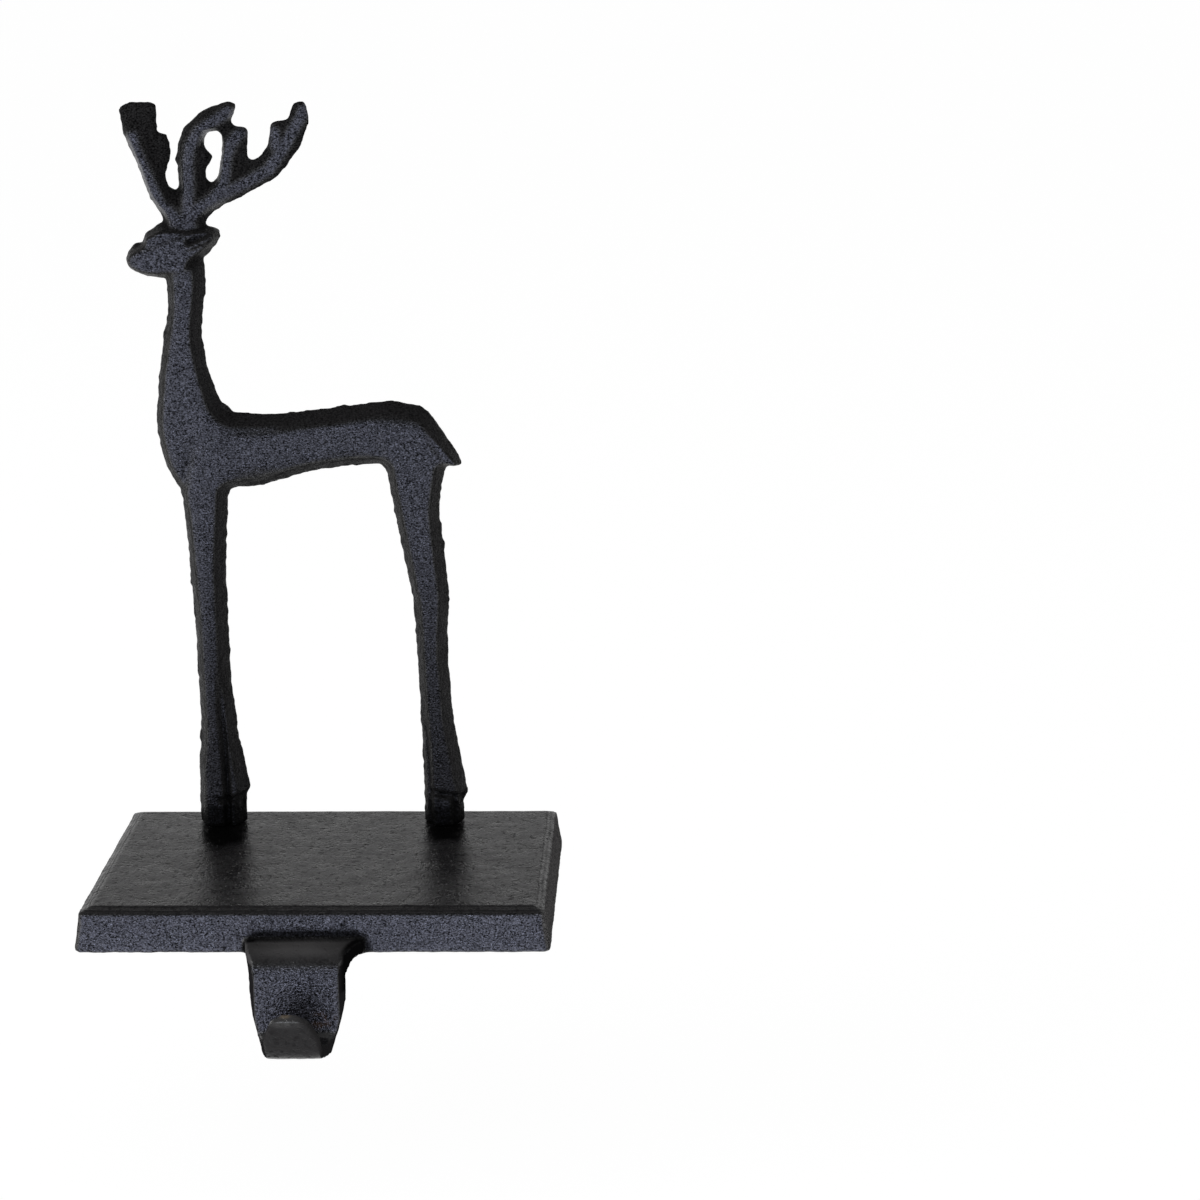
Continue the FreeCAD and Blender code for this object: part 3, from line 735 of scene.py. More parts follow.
@dataclass(frozen=True)
class ZincPlate:
    """Dull zinc plating on the hidden screws."""

    colour: Colour = (0.45, 0.45, 0.46)
    roughness: float = 0.4

    def material(self, name: str) -> bpy.types.Material:
        """Builds the material.

        Args:
            name: name of the material.

        Returns:
            Plain metal.
        """
        made = bpy.data.materials.new(name)
        made.use_nodes = True
        shader = made.node_tree.nodes["Principled BSDF"]
        shader.inputs["Base Color"].default_value = (*self.colour, 1.0)
        shader.inputs["Metallic"].default_value = 1.0
        shader.inputs["Roughness"].default_value = self.roughness
        return made


@dataclass(kw_only=True)
class Casting(ABC):
    """One sand casting, skinned from its CAD node."""

    BEYOND_BEVEL = 9.0
    FINE_SHIFT = 40.0

    node: str
    slot: str
    finish: PaintedIron
    seed: int
    pitch: float
    edge_softening: int = 4
    softening_pull: float = 0.5
    lump_length: float = 7.0
    lump_height: float = 0.10
    skin_length: float = 1.7
    skin_height: float = 0.075
    hollow_scales: tuple[tuple[int, float], ...] = ((24, 0.7),)

    def build(self) -> bpy.types.Object:
        """Makes the casting's piece.

        Returns:
            The finished piece, riding on the root in place of its CAD node.
        """
        low, high = (METRE * np.array(corner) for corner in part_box(self.node))
        skin = Skin.of_node(bpy.data.objects[self.node], self.pitch)
        skin.points = skin.relaxed(self.edge_softening, self.softening_pull)
        self.sculpt(skin)
        regions = self.regions(skin)
        skin.points += skin.normals() * self.sand(skin)[:, None]
        skin.points = np.clip(skin.points, low, high)
        piece = bpy.data.objects.new(f"{self.node}_casting", skin.mesh(self.node, regions))
        bpy.context.scene.collection.objects.link(piece)
        piece.data.materials.append(self.finish.material(f"{self.slot}_paint"))
        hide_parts(self.node)
        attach(piece, "root")
        LOG.info("%s: %d quads", piece.name, len(skin.quads))
        return piece

    @abstractmethod
    def sculpt(self, skin: Skin) -> None:
        """Raises and sinks the casting's own forms.

        Args:
            skin: surface of the casting, which is changed.
        """

    def sand(self, skin: Skin) -> Array:
        """Height of the sand's print.

        Args:
            skin: surface of the casting.

        Returns:
            Long low lumps with a finer skin over them, one height for each point.
        """
        noise = Noise(self.seed)
        lumps = noise.layers(skin.points, self.lump_length, 2)
        fine = noise.layers(skin.points + self.FINE_SHIFT, self.skin_length, 2)
        return self.lump_height * lumps + self.skin_height * fine

    def regions(self, skin: Skin) -> dict[Region, Array]:
        """Where the finish changes.

        Args:
            skin: surface of the casting.

        Returns:
            One value for each region and point: full grain, painted shade in the hollows, no bevel near, and
            nothing of the rest.
        """
        found = {region: np.zeros(len(skin.points)) for region in Region}
        found[Region.GRAIN] += 1.0
        # Painted shade in the hollows.
        found[Region.HOLLOW_SHADE] = np.max([skin.hollows(*scale) for scale in self.hollow_scales], axis=0)
        found[Region.EDGE] += self.BEYOND_BEVEL
        return found


@dataclass(frozen=True, kw_only=True)
class HookFaces:
    """How far each point belongs to each face of the plate and the hook, 0 to 1."""

    top: Array
    front: Array
    upright: Array
    side: Array
    ledge: Array
    hook: Array
    lip: Array


@dataclass(kw_only=True)
class HookBase(Casting):
    """Plate and hook: a smoother top with a stepped bevel, a ground front and a worn lip.

    Depths with ahead in their name are counted forwards from the plate's front. Each pool is a middle
    and a half size.
    """

    node: str = "hook_base"
    slot: str = "base_iron"
    seed: int = 11
    pitch: float = 0.53
    edge_softening: int = 2
    front_depth: float = -37.0
    hook_middle: float = -2.8

    rim_inner: Spot = (52.95, 33.9)
    rim_low: float = 7.6
    wall_top: Spot = (2.8, 1.7)
    wall_foot: float = 3.056
    bevel_inner: float = 2.8

    hook_ahead: Range = (1.0, 3.0)
    lip_ahead: Range = (16.5, 19.0)
    top_facing: Range = (0.6, 0.95)
    front_facing: Range = (0.7, 0.95)
    upright_facing: Range = (0.75, 0.95)
    side_facing: Range = (0.3, 0.6)
    ledge_facing: Range = (0.35, 0.95)
    # Facing of the hook's ledge that gets painted light.
    ledge_light_facing: Range = (0.6, 0.97)
    open_facing: Range = (0.7, 0.9)

    calm_facing: Range = (0.85, 0.98)
    calm_height: Range = (9.0, 10.0)
    calm_share: float = 0.78
    top_grain_loss: float = 0.7
    hook_grain_loss: float = 0.8
    lip_grain_loss: float = 0.88

    grinding_height: float = 5.0
    grinding_wave: float = 1.6
    grinding_wave_length: float = 6.0
    grinding_fade: float = 2.5
    grinding_across: Range = (10.0, 20.0)
    grinding_share: float = 0.8

    lip_tip: Place = (-3.6, -60.0, -6.6)
    worn_size: Place = (1.5, 1.2, 0.8)
    worn_reach: float = 1.2
    worn_share: float = 0.85
    shine_reach: float = 4.0
    stain_middle: Place = (3.4, -47.4, -13.4)
    stain_size: Place = (3.4, 2.0, 2.2)
    stain_reach: float = 1.3
    stain_spots: float = 1.6
    stain_span: Range = (-0.1, 0.4)

    # Pools of thick glossy paint round the feet, their near black a painted shadow and reflection of the
    # legs.
    pools: tuple[tuple[Spot, Spot], ...] = (((-29.4, 16.0), (8.6, 12.5)), ((28.0, 19.0), (7.4, 9.0)))
    pool_floor: float = 9.5
    pool_rim: Range = (0.45, 1.15)
    pool_sway: float = 0.22
    pool_sway_length: float = 5.0

    lip_below: float = -0.5
    # Shares of painted shade on the lip and the top.
    lip_painted_shade: float = 0.95
    top_painted_shade: float = 0.77
    # Painted light on the lip and the hook's ledge.
    lip_painted_light: float = 0.25
    ledge_painted_light: float = 0.9
    ledge_light_half: float = 16.0

    root_line: Path2D = ((-15.9, -2.0), (-15.6, 1.6), (-13.6, 4.3), (10.4, 4.5), (12.4, 3.3), (13.8, 0.2))
    root_reach: float = 1.9
    root_strength: float = 1.3
    root_ahead: float = 0.6
    root_fade: Range = (1.0, 2.2)
    flare_edge: Range = (9.4, 7.0)
    flare_length: float = 6.0
    flare_fade: float = 1.6
    flare_ahead: float = 1.5
    flare_bottom: float = -7.0

    def rim(self, points: Array) -> tuple[Array, Array]:
        """How far each point lies outside the plate's inner rectangle.

        Args:
            points: places, one row each.

        Returns:
            The way out from the rectangle in the plane, and its length as a fourth power norm, which
            rounds the corners as the plate's walls are rounded.
        """
        way = np.sign(points[:, :2]) * np.maximum(np.abs(points[:, :2]) - self.rim_inner, 0.0)
        return way, np.sum(way**4, axis=1) ** 0.25

    def sculpt(self, skin: Skin) -> None:
        """Spreads the plate's upper edge into its broad low bevel.

        Seen in section, each point of the rim moves along the ray from the rim's inner lower corner to
        the nearer of two lines: the wall, up to its top, and the bevel, from there to the plate's top.

        Args:
            skin: surface of the casting, which is changed.
        """
        way, out = self.rim(skin.points)
        up = skin.points[:, 2] - self.rim_low
        top_out, top_up = self.wall_top
        inside = (out > 1e-6) & (up > 1e-6)
        out, up = np.where(inside, out, 1.0), np.where(inside, up, 1.0)
        lean = (self.wall_foot - top_out) / top_up
        fall = (self.bevel_inner - top_up) / top_out
        reach = np.minimum(self.wall_foot / (out + lean * up), self.bevel_inner / (up + fall * out))
        grown = np.where(inside, reach, 1.0)
        skin.points[:, :2] += way * (grown - 1.0)[:, None]
        skin.points[:, 2] += np.where(inside, up * (grown - 1.0), 0.0)

    def sand(self, skin: Skin) -> Array:
        """Height of the sand's print.

        Args:
            skin: surface of the casting.

        Returns:
            The print of any casting, calmer on the plate's top.
        """
        top = ramp(skin.normals()[:, 2], *self.calm_facing) * ramp(skin.points[:, 2], *self.calm_height)
        return super().sand(skin) * (1.0 - self.calm_share * top)

    def regions(self, skin: Skin) -> dict[Region, Array]:
        """Where the finish changes.

        Args:
            skin: surface of the casting.

        Returns:
            One value for each region and point: grain on the upright faces, grinding low on the front,
            glossy pools of thick paint with painted shadow round the feet, painted shade, light and bluish
            sheen by the way the faces look, painted shade round the hook's root, bare metal and rust on the
            hook, and the way over the bevel.
        """
        found = super().regions(skin)
        noise = Noise(self.seed + 1)
        faces = self.faces(skin)
        self.grind(skin, faces, noise, found)
        self.wear(skin, noise, found)
        # Glossy pools round the feet with painted shadow.
        self.pour_and_shade(skin, noise, found)
        # Painted shade, painted light and a painted bluish sheen by the way the faces look.
        self.painted_shading(skin, faces, found)
        self.shade_root(skin, found)
        inward = self.wall_top[0] - self.rim(skin.points)[1]
        on_bevel = skin.points[:, 2] > self.rim_low + 0.5 * self.wall_top[1]
        found[Region.EDGE] = np.where(on_bevel, np.maximum(inward, 0.0), 0.0)
        return found

    def faces(self, skin: Skin) -> HookFaces:
        """Sorts the points by the way they face and by how far they lie ahead of the plate.

        Args:
            skin: surface of the casting.

        Returns:
            A share for each face and point.
        """
        facing = skin.normals()
        ahead = self.front_depth - skin.points[:, 1]
        above = skin.points[:, 2] > 0.0
        return HookFaces(
            top=ramp(facing[:, 2], *self.top_facing),
            front=ramp(-facing[:, 1], *self.front_facing),
            upright=ramp(np.abs(facing[:, 1]), *self.upright_facing),
            side=ramp(np.abs(facing[:, 0]), *self.side_facing),
            ledge=ramp(facing[:, 2], *self.ledge_facing) * (ahead > 0.0) * above,
            hook=ramp(ahead, *self.hook_ahead),
            lip=ramp(ahead, *self.lip_ahead),
        )

    def grind(self, skin: Skin, faces: HookFaces, noise: Noise, found: dict[Region, Array]) -> None:
        """Thins the grain on the top and the hook, and grinds the front low down at its right.

        Args:
            skin: surface of the casting.
            faces: share of each face.
            noise: source of the grinding's wavy edge.
            found: regions, of which the grain and the grinding are set.
        """
        across, _, up = skin.points.T
        hook_loss = self.hook_grain_loss * faces.hook * (1.0 - faces.front)
        grain = (1.0 - self.top_grain_loss * faces.top) * (1.0 - hook_loss)
        found[Region.GRAIN] = grain * (1.0 - self.lip_grain_loss * faces.lip)
        edge = self.grinding_height + self.grinding_wave * noise.at(skin.points, self.grinding_wave_length)
        ground = faces.front * (1.0 - faces.hook) * ramp(edge - up, 0.0, self.grinding_fade)
        found[Region.GROUND] = self.grinding_share * ground * ramp(across, *self.grinding_across)

    def wear(self, skin: Skin, noise: Noise, found: dict[Region, Array]) -> None:
        """Rubs the paint off the lip's tip and stains the hook's bowl with rust.

        Args:
            skin: surface of the casting.
            noise: source of the stain's spots.
            found: regions, of which the bare metal and the rust are set.
        """
        found[Region.BARE] = self.worn_share * bump(self.worn(skin), self.worn_reach)
        stain = skin.shares_from(self.stain_middle, self.stain_size)
        spots = ramp(noise.at(skin.points, self.stain_spots), *self.stain_span)
        found[Region.RUST] = bump(stain, self.stain_reach) * spots

    def worn(self, skin: Skin) -> Array:
        """Distance of each point from the lip's tip, in shares of the worn spot's size."""
        return skin.shares_from(self.lip_tip, self.worn_size)

    def pour_and_shade(self, skin: Skin, noise: Noise, found: dict[Region, Array]) -> None:
        """Lets thick glossy paint stand round the feet on the plate's top, its near black a painted shadow
        and reflection of the legs.

        Args:
            skin: surface of the casting.
            noise: source of the pools' wavy rims.
            found: regions, of which the glossy pools with their painted shadow are set.
        """
        flat = skin.points[:, :2]
        away = [np.linalg.norm((flat - middle) / np.array(size), axis=1) for middle, size in self.pools]
        away = np.min(away, axis=0) + self.pool_sway * noise.layers(skin.points, self.pool_sway_length, 2)
        # Painted shadow: near black in the pools, where the legs' shadow and reflection fall.
        wet_and_shaded = 1.0 - ramp(away, *self.pool_rim)
        found[Region.GLOSS_AND_SHADE] = np.where(skin.points[:, 2] > self.pool_floor, wet_and_shaded, 0.0)

    def painted_shading(self, skin: Skin, faces: HookFaces, found: dict[Region, Array]) -> None:
        """Paints shade on the ends, the top, the lip and the hook's ledge by taking their sheen off, paints
        light on all but the top as a paler grey, and paints a bluish sheen on the upright faces.

        Args:
            skin: surface of the casting.
            faces: share of each face.
            found: regions, of which the painted bluish sheen, the painted shade and the painted light are
                set.
        """
        across, _, up = skin.points.T
        # Painted bluish sheen on the upright faces, not on the lip.
        found[Region.PAINTED_SHEEN] = faces.upright * (1.0 - faces.lip)
        # Painted shade: the sheen comes off the ends and the lower lip, less near the worn tip, and off the
        # ledge and the top away from the hook.
        painted_shading = np.maximum(faces.side, np.where(up < self.lip_below, self.lip_painted_shade * faces.lip, 0.0))
        painted_shading *= 1.0 - bump(self.worn(skin), self.shine_reach)
        painted_shading = np.maximum(painted_shading, faces.ledge)
        found[Region.PAINTED_SHADE] = np.maximum(painted_shading, self.top_painted_shade * faces.top * (1.0 - faces.hook))
        # Painted light: a paler grey on the middle of the hook's ledge, on the ends above the underside and
        # on a little of the lip.
        level = ramp(skin.normals()[:, 2], *self.ledge_light_facing)
        middle = np.clip(1.2 - np.abs(across - self.hook_middle) / self.ledge_light_half, 0.0, 1.0)
        painted_light = self.ledge_painted_light * faces.ledge * level * middle
        ends = np.maximum(faces.side * (up > 0.0), self.lip_painted_light * faces.lip)
        found[Region.BLOOM] = np.maximum(painted_light, ends)

    def shade_root(self, skin: Skin, found: dict[Region, Array]) -> None:
        """Paints shade on the line round the hook's root and the flare at its right, not on the faces that
        look up.

        Args:
            skin: surface of the casting.
            found: regions, of which the painted shade in the hollows and the painted light are changed.
        """
        across, depth, up = skin.points.T
        ahead = self.front_depth - depth
        found[Region.HOLLOW_SHADE] *= 1.0 - ramp(skin.normals()[:, 2], *self.open_facing)
        near = 1.0 - ramp(np.abs(ahead - self.root_ahead), *self.root_fade)
        line = bump(path_distance(skin.points[:, [0, 2]], self.root_line)[0], self.root_reach)
        edge = np.interp(ahead, (0.0, self.flare_length), self.flare_edge)
        flare = ramp(across - edge, 0.0, self.flare_fade) * (ahead > self.flare_ahead)
        flare *= up > self.flare_bottom
        root = np.maximum(np.minimum(self.root_strength * near * line, 1.0), flare)
        # Painted shade round the root, with no painted light there.
        found[Region.HOLLOW_SHADE] = np.maximum(found[Region.HOLLOW_SHADE], root)
        found[Region.BLOOM] *= 1.0 - root


@dataclass(kw_only=True)
class Reindeer(Casting):
    """The relief figure, rounded and marked alike on both faces, with a ragged parting line."""

    THROUGH = (0.0, 1.0, 0.0)
    IN_PLANE = (1.0, 0.0, 1.0)

    node: str = "reindeer"
    slot: str = "figure_iron"
    seed: int = 23
    pitch: float = 0.46
    hollow_scales: tuple[tuple[int, float], ...] = ((24, 0.5), (90, 1.1))
    middle_depth: float = 27.0
    relief_softening: int = 26
    relief_edge: float = 2.5

    torso: Path2D = ((-22.0, 108.6), (-12.0, 109.4), (0.0, 111.6), (12.0, 112.8), (26.0, 111.6))
    torso_radii: Range = (9.6, 8.2)
    torso_half: float = 6.5
    chest: Range = (-27.0, -17.0)
    rump: Range = (25.0, 31.0)
    haunch: Range = (7.0, 15.0)
    haunch_top: Range = (-3.0, 2.0)

    beam_half: float = 3.8
    beam_flat: float = 0.5
    beam_fall: float = 0.95
    antler_root: float = 164.0
    antler_fade: float = 4.0
    shave_softness: float = 0.15
    shave_least: float = 0.35

    flash_height: float = 0.5
    flash_half: float = 1.1
    flash_start: Range = (12.0, 15.0)
    burr_length: float = 4.2
    burr_floor: float = 0.25
    burr_height: float = 1.6
    rag_length: float = 2.0
    rag_height: float = 0.35

    face_facing: Range = (0.5, 0.9)
    flat_facing: Range = (0.62, 0.98)
    slope_grain: float = 0.65
    # Glossy near black low on the hoofs: a painted shade.
    hoof_edge: Range = (16.0, 20.0)
    hoof_sway: float = 1.5
    hoof_sway_length: float = 3.0
    hoof_gloss_and_shade: float = 0.94
    # Painted sheen along the middle of each antler beam.
    ridge_sheen: Range = (0.7, 2.2)
    ridge_sheen_fade: float = 7.0
    # The legs grow darker towards the bottom.
    leg_darkening: float = 0.68
    leg_span: Range = (25.0, 105.0)

    swellings: tuple[Swelling, ...] = (
        Swelling((21.0, 112.0), (12.5, 14.0), 0.7),
        Swelling((-27.0, 106.0), (9.0, 15.0), 0.55),
        Swelling((-42.5, 154.3), (5.0, 4.0), 0.5),
        Swelling((-32.5, 155.0), (6.0, 4.5), 0.45),
    )
    beams: tuple[Path2D, ...] = (
        ((-44.2, 187.0), (-44.1, 184.9), (-42.4, 180.5), (-40.4, 175.6), (-38.5, 170.8), (-35.6, 168.0))
        + ((-32.6, 165.0),),
        ((-31.9, 164.0), (-31.1, 176.2), (-31.1, 180.1), (-30.4, 184.6), (-28.0, 188.2), (-24.5, 190.5))
        + ((-20.9, 192.6),),
        ((-29.0, 169.6), (-24.8, 172.0), (-22.5, 176.0), (-21.9, 181.4), (-20.4, 185.2), (-18.2, 187.5)),
        ((-31.9, 167.0), (-28.3, 169.6), (-22.6, 172.9), (-16.9, 175.6), (-11.8, 178.4), (-8.9, 182.2))
        + ((-6.5, 186.1), (-3.5, 190.9), (-2.4, 193.0)),
        ((-9.6, 184.4), (-10.0, 187.6)),
    )
    marks: tuple[Mark, ...] = (
        Mark(((-29.3, 58.0), (-29.1, 40.5), (-28.6, 30.3), (-28.4, 20.8), (-28.7, 9.0)), -1.5, 1.3, 0.45),
        Mark(((-29.9, 17.6), (-26.2, 18.0), (-22.0, 20.2)), -1.3, 1.2),
        Mark(((23.2, 42.0), (23.8, 28.0), (24.0, 9.0)), -1.1, 0.95, 0.3),
        Mark(((24.6, 19.6), (30.0, 18.6), (34.8, 16.8)), -1.3, 1.3),
        Mark(((29.9, 17.8), (30.2, 9.0)), -1.1, 1.0),
        Mark(((-33.2, 112.4), (-34.3, 108.4), (-35.8, 101.0)), -0.45, 2.4, 0.4),
        Mark(((9.6, 117.0), (12.6, 112.0), (14.6, 105.0)), -0.3, 3.0, 0.3),
        Mark(((-31.4, 161.9), (-29.0, 162.6), (-26.4, 163.5)), -1.2, 1.25),
        Mark(((-33.0, 159.8), (-29.6, 160.9), (-27.2, 162.2), (-24.8, 164.3)), 0.75, 0.95, 0.2),
        Mark(((-41.5, 160.6), (-36.0, 162.8), (-30.0, 164.2)), -0.5, 1.6),
        Mark(((-45.0, 150.6), (-40.0, 150.2), (-34.0, 150.6)), -0.35, 1.2),
        Mark(((25.0, 113.0), (29.5, 107.5), (32.0, 102.0)), -0.5, 1.3, 0.3),
    )

    def sculpt(self, skin: Skin) -> None:
        """Rounds the relief and lays the beams, swellings, marks and flash over it.

        Args:
            skin: surface of the casting, which is changed.
        """
        self.round_beams(skin)
        self.round_torso(skin)
        skin.points = skin.relaxed(self.relief_softening, self.softening_pull, self.THROUGH)
        flat = skin.points[:, [0, 2]]
        raised = sum(form.lift(flat) for form in (*self.marks, *self.swellings))
        side = np.clip((skin.points[:, 1] - self.middle_depth) / self.relief_edge, -1.0, 1.0)
        skin.points[:, 1] += side * raised
        self.lay_flash(skin)

    def lay_flash(self, skin: Skin) -> None:
        """Leaves a ragged flash along the parting line: noise with burrs, by a bell curve of the depth.

        Args:
            skin: surface of the casting, which is changed.
        """
        facing = skin.normals()
        seam = np.exp(-(((skin.points[:, 1] - self.middle_depth) / self.flash_half) ** 2))
        noise = Noise(self.seed + 2)
        burrs = np.clip(noise.layers(skin.points, self.burr_length, 2) - self.burr_floor, 0.0, 1.0) ** 1.5
        ragged = self.rag_height * noise.layers(skin.points, self.rag_length, 2) + self.burr_height * burrs
        spread = ramp(skin.points[:, 2], *self.flash_start)
        skin.points += facing * self.IN_PLANE * (self.flash_height * seam * ragged * spread)[:, None]

    def ridge_distance(self, flat: Array) -> Array:
        """Distance of each flat point from the middle of the nearest antler beam."""
        return np.min([path_distance(flat, beam)[0] for beam in self.beams], axis=0)

    def round_beams(self, skin: Skin) -> None:
        """Lets the antlers' faces fall away evenly on both sides of the middle of each beam.

        Args:
            skin: surface of the casting, which is changed.
        """
        flat = skin.points[:, [0, 2]]
        ridge = self.beam_half - self.beam_fall * np.maximum(self.ridge_distance(flat) - self.beam_flat, 0.0)
        self.shave(skin, ridge, ramp(flat[:, 1], self.antler_root, self.antler_root + self.antler_fade))

    def round_torso(self, skin: Skin) -> None:
        """Rounds the body like a barrel.

        The half depth falls with the square of the distance from the body's axis, on the back's side
        all along and on the belly's side only between the legs.

        Args:
            skin: surface of the casting, which is changed.
        """
        flat = skin.points[:, [0, 2]]
        across, up = flat.T
        distance, share = path_distance(flat, self.torso)
        radius = np.interp(share, (0.0, 1.0), self.torso_radii)
        axis = np.interp(across, *np.array(self.torso).T)
        between = ramp(across, *self.chest) * (1.0 - ramp(across, *self.rump))
        haunch = ramp(across, *self.haunch) * (1.0 - ramp(up - axis, *self.haunch_top))
        self.shave(skin, self.torso_half * (1.0 - (distance / radius) ** 2), between * (1.0 - haunch))

    def shave(self, skin: Skin, limit: Array, share: Array) -> None:
        """Holds the half depth of the points under a limit.

        The held depth is a soft minimum: half the sum of both, less half the root of their squared
        difference plus a small constant.

        Args:
            skin: surface of the casting, which is changed.
            limit: greatest half depth for each point.
            share: how far the limit counts for each point, 0 to 1.
        """
        side = skin.points[:, 1] - self.middle_depth
        own = np.abs(side)
        cut = 0.5 * (own + limit - np.sqrt((own - limit) ** 2 + self.shave_softness))
        kept = own + share * (np.clip(cut, self.shave_least * own, own) - own)
        skin.points[:, 1] = self.middle_depth + np.sign(side) * kept

    def regions(self, skin: Skin) -> dict[Region, Array]:
        """Where the finish changes.

        Args:
            skin: surface of the casting.

        Returns:
            One value for each region and point: fullest grain and a painted bluish sheen on the flat faces
                and
            along the beams, painted shade on the slopes, legs that grow darker towards the bottom, and
            glossy near black low on the hoofs, a painted shade.
        """
        found = super().regions(skin)
        up = skin.points[:, 2]
        faced = np.abs(skin.normals()[:, 1])
        found[Region.GRAIN] = self.slope_grain + (1.0 - self.slope_grain) * ramp(faced, *self.face_facing)
        sway = self.hoof_sway * Noise(self.seed + 3).at(skin.points, self.hoof_sway_length)
        # Painted shade low on the hoofs, glossy near black with a wavy edge.
        found[Region.GLOSS_AND_SHADE] = self.hoof_gloss_and_shade * (1.0 - ramp(up + sway, *self.hoof_edge))
        # Painted bluish sheen on the faces that look front and back and along the antler beams.
        flatness = ramp(faced, *self.flat_facing)
        antler = ramp(up, self.antler_root, self.antler_root + self.ridge_sheen_fade)
        on_ridge = 1.0 - ramp(self.ridge_distance(skin.points[:, [0, 2]]), *self.ridge_sheen)
        flatness += antler * (on_ridge - flatness)
        found[Region.PAINTED_SHEEN] = flatness
        # The legs grow darker towards the bottom.
        legs = 1.0 - ramp(up, *self.leg_span)
        # Painted shade: the sheen comes off the slopes.
        found[Region.PAINTED_SHADE] = 1.0 - flatness * (1.0 - self.leg_darkening * legs)
        return found


@dataclass(kw_only=True)
class FootScrews:
    """The two screws, shown as their CAD nodes."""

    nodes: tuple[str, ...] = ("foot_screw_front", "foot_screw_rear")
    slot: str = "screw_steel"
    finish: ZincPlate = ZincPlate()

    def build(self) -> list[bpy.types.Object]:
        """Dresses the screws.

        Returns:
            The two screws.
        """
        plating = self.finish.material(f"{self.slot}_zinc")
        screws = [bpy.data.objects[name] for name in self.nodes]
        for screw in screws:
            screw.data.materials.clear()
            screw.data.materials.append(plating)
            LOG.info("%s: CAD node", screw.name)
        return screws


@dataclass(frozen=True, kw_only=True)
class Softbox:
    """Rectangular lamp that faces its aim."""

    name: str
    place: Place
    aim: Place
    size: tuple[float, float]
    power: float
    colour: Colour = WHITE

    def build(self) -> None:
        """Hangs the lamp in the scene."""
        light = bpy.data.lights.new(self.name, "AREA")
        light.shape = "RECTANGLE"
        light.size = self.size[0] / METRE
        light.size_y = self.size[1] / METRE
        light.energy = self.power
        light.color = self.colour
        holder = bpy.data.objects.new(self.name, light)
        holder.location = Vector(self.place) / METRE
        holder.rotation_euler = (Vector(self.aim) - Vector(self.place)).to_track_quat("-Z", "Y").to_euler()
        bpy.context.scene.collection.objects.link(holder)


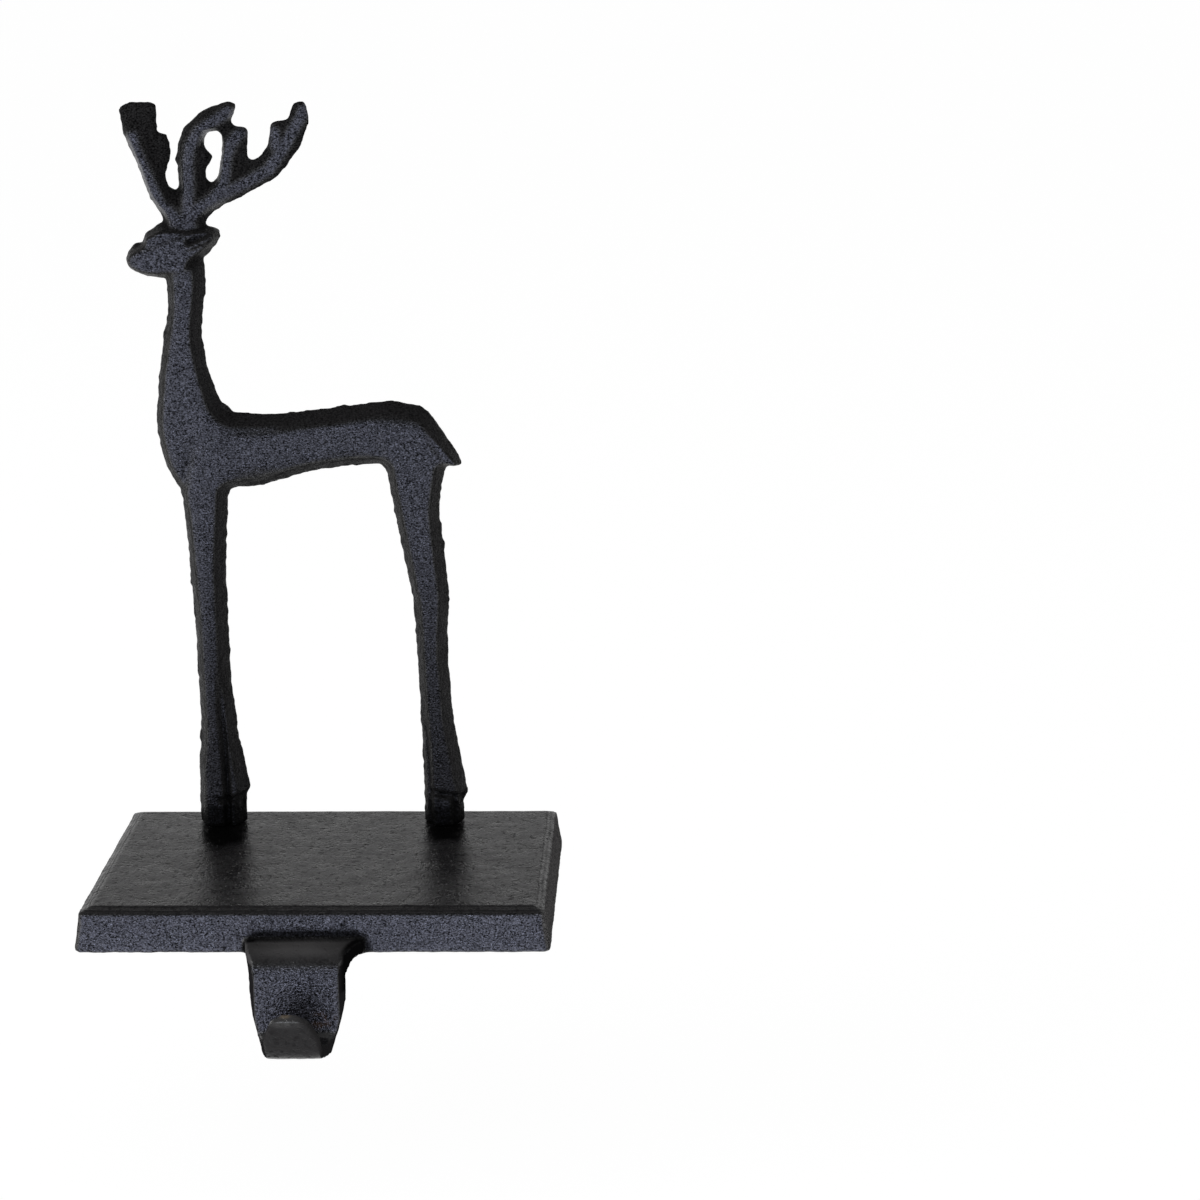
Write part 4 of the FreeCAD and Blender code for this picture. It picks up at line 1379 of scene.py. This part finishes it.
@dataclass(kw_only=True)
class Studio:
    """Floor, world, lamps and camera."""

    floor_drop: float = 60.0
    floor_half: float = 9000.0
    floor_colour: Colour = (0.86, 0.86, 0.86)
    floor_glow: float = 1.16
    glow_share: float = 0.8
    ceiling: float = 0.28
    ceiling_rise: Range = (0.1, 0.6)
    lens: float = 82.91
    sensor: float = 36.0
    clip: Range = (10.0, 100000.0)
    camera_place: Place = (86.47, -650.07, 250.66)
    camera_pitch: float = 14.99
    camera_roll: float = -0.665
    camera_yaw: float = -1.566
    lamps: tuple[Softbox, ...] = (
        Softbox(
            name="front_softbox",
            place=(-60.0, -1100.0, 10.0),
            aim=(0.0, 0.0, 10.0),
            size=(700.0, 140.0),
            power=1.8,
            colour=(0.85, 0.9, 1.0),
        ),
        Softbox(
            name="left_fill",
            place=(-1100.0, -300.0, 500.0),
            aim=(0.0, 0.0, 60.0),
            size=(500.0, 700.0),
            power=3.0,
        ),
    )

    def build(self) -> None:
        """Sets up the studio."""
        self.floor()
        self.world()
        for lamp in self.lamps:
            lamp.build()
        self.camera()
        bpy.context.scene.view_settings.view_transform = "Standard"

    def floor(self) -> None:
        """Lays the pale floor under the hook."""
        half = self.floor_half / METRE
        height = -self.floor_drop / METRE
        mesh = bpy.data.meshes.new("floor")
        turns = ((-1.0, -1.0), (1.0, -1.0), (1.0, 1.0), (-1.0, 1.0))
        mesh.from_pydata([(x * half, y * half, height) for x, y in turns], [], [(0, 1, 2, 3)])
        mesh.materials.append(self.floor_material())
        floor = bpy.data.objects.new("floor", mesh)
        bpy.context.scene.collection.objects.link(floor)
        floor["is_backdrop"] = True

    def floor_material(self) -> bpy.types.Material:
        """Builds the floor's material.

        Returns:
            Dull pale paint that glows by a share for camera, glossy and transmission rays, so that it
            shows white and keeps a soft shadow, and doesn't light the object.
        """
        made = bpy.data.materials.new("pale_floor")
        made.use_nodes = True
        nodes = Nodes(made.node_tree)
        tree = made.node_tree
        shader = tree.nodes["Principled BSDF"]
        shader.inputs["Base Color"].default_value = (*self.floor_colour, 1.0)
        shader.inputs["Roughness"].default_value = 1.0
        shader.inputs["Specular IOR Level"].default_value = 0.0
        glow = tree.nodes.new("ShaderNodeEmission")
        glow.inputs["Strength"].default_value = self.floor_glow
        path = tree.nodes.new("ShaderNodeLightPath")
        share = path.outputs["Is Camera Ray"]
        for ray in ("Is Glossy Ray", "Is Transmission Ray"):
            share = nodes.math("MAXIMUM", share, path.outputs[ray])
        mix = tree.nodes.new("ShaderNodeMixShader")
        tree.links.new(nodes.math("MULTIPLY", share, self.glow_share), mix.inputs[0])
        tree.links.new(shader.outputs[0], mix.inputs[1])
        tree.links.new(glow.outputs[0], mix.inputs[2])
        tree.links.new(mix.outputs[0], tree.nodes["Material Output"].inputs["Surface"])
        return made

    def world(self) -> None:
        """Sets a white horizon under a dimmer ceiling, the same for every ray."""
        world = bpy.data.worlds.new("studio")
        world.use_nodes = True
        bpy.context.scene.world = world
        tree = world.node_tree
        background = tree.nodes["Background"]
        place = tree.nodes.new("ShaderNodeTexCoord")
        split = tree.nodes.new("ShaderNodeSeparateXYZ")
        tree.links.new(place.outputs["Generated"], split.inputs[0])
        fall = Nodes(tree).scaled(split.outputs["Z"], self.ceiling_rise, (1.0, self.ceiling))
        fall.node.interpolation_type = "SMOOTHSTEP"
        tree.links.new(fall, background.inputs["Strength"])
        background.inputs["Color"].default_value = (*WHITE, 1.0)

    def camera(self) -> None:
        """Stands the camera at the photograph's place, pitched down, rolled and turned to one side."""
        pitch, roll, yaw = (math.radians(v) for v in (self.camera_pitch, self.camera_roll, self.camera_yaw))
        right = Vector((1.0, 0.0, 0.0))
        up = Vector((0.0, math.sin(pitch), math.cos(pitch)))
        ahead = Vector((0.0, math.cos(pitch), -math.sin(pitch)))
        rolled_right = right * math.cos(roll) + up * math.sin(roll)
        rolled_up = up * math.cos(roll) - right * math.sin(roll)
        turn = Matrix.Rotation(-yaw, 3, "Z")
        axes = Matrix([turn @ rolled_right, turn @ rolled_up, turn @ -ahead]).transposed()
        lens = bpy.data.cameras.new("camera")
        lens.sensor_width = self.sensor
        lens.lens = self.lens
        lens.clip_start = self.clip[0] / METRE
        lens.clip_end = self.clip[1] / METRE
        camera = bpy.data.objects.new("camera", lens)
        camera.matrix_world = Matrix.Translation(Vector(self.camera_place) / METRE) @ axes.to_4x4()
        bpy.context.scene.collection.objects.link(camera)
        bpy.context.scene.camera = camera


def corners() -> list[list[float]]:
    """Lowest and highest corner of what is shown, as plain lists in metres."""
    return [[float(value) for value in corner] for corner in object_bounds()]


def main() -> None:
    """Builds the pieces and the studio."""
    logging.basicConfig(level=logging.INFO, format="%(name)s: %(message)s")
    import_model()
    base_paint = PaintedIron(
        paint=(0.014, 0.014, 0.016),
        roughness=0.28,
        grain_length=0.6,
        grain_height=0.26,
        specular=0.98,
        pit_height=0.08,
    )
    figure_paint = PaintedIron(
        paint=(0.012, 0.013, 0.016),
        roughness=0.28,
        grain_length=0.64,
        grain_height=0.3,
        specular=0.76,
        painted_shade_share=0.985,
        painted_shade_colour=(0.034, 0.033, 0.034),
    )
    HookBase(finish=base_paint).build()
    Reindeer(finish=figure_paint).build()
    FootScrews().build()
    Studio().build()


if __name__ == "__main__":
    main()
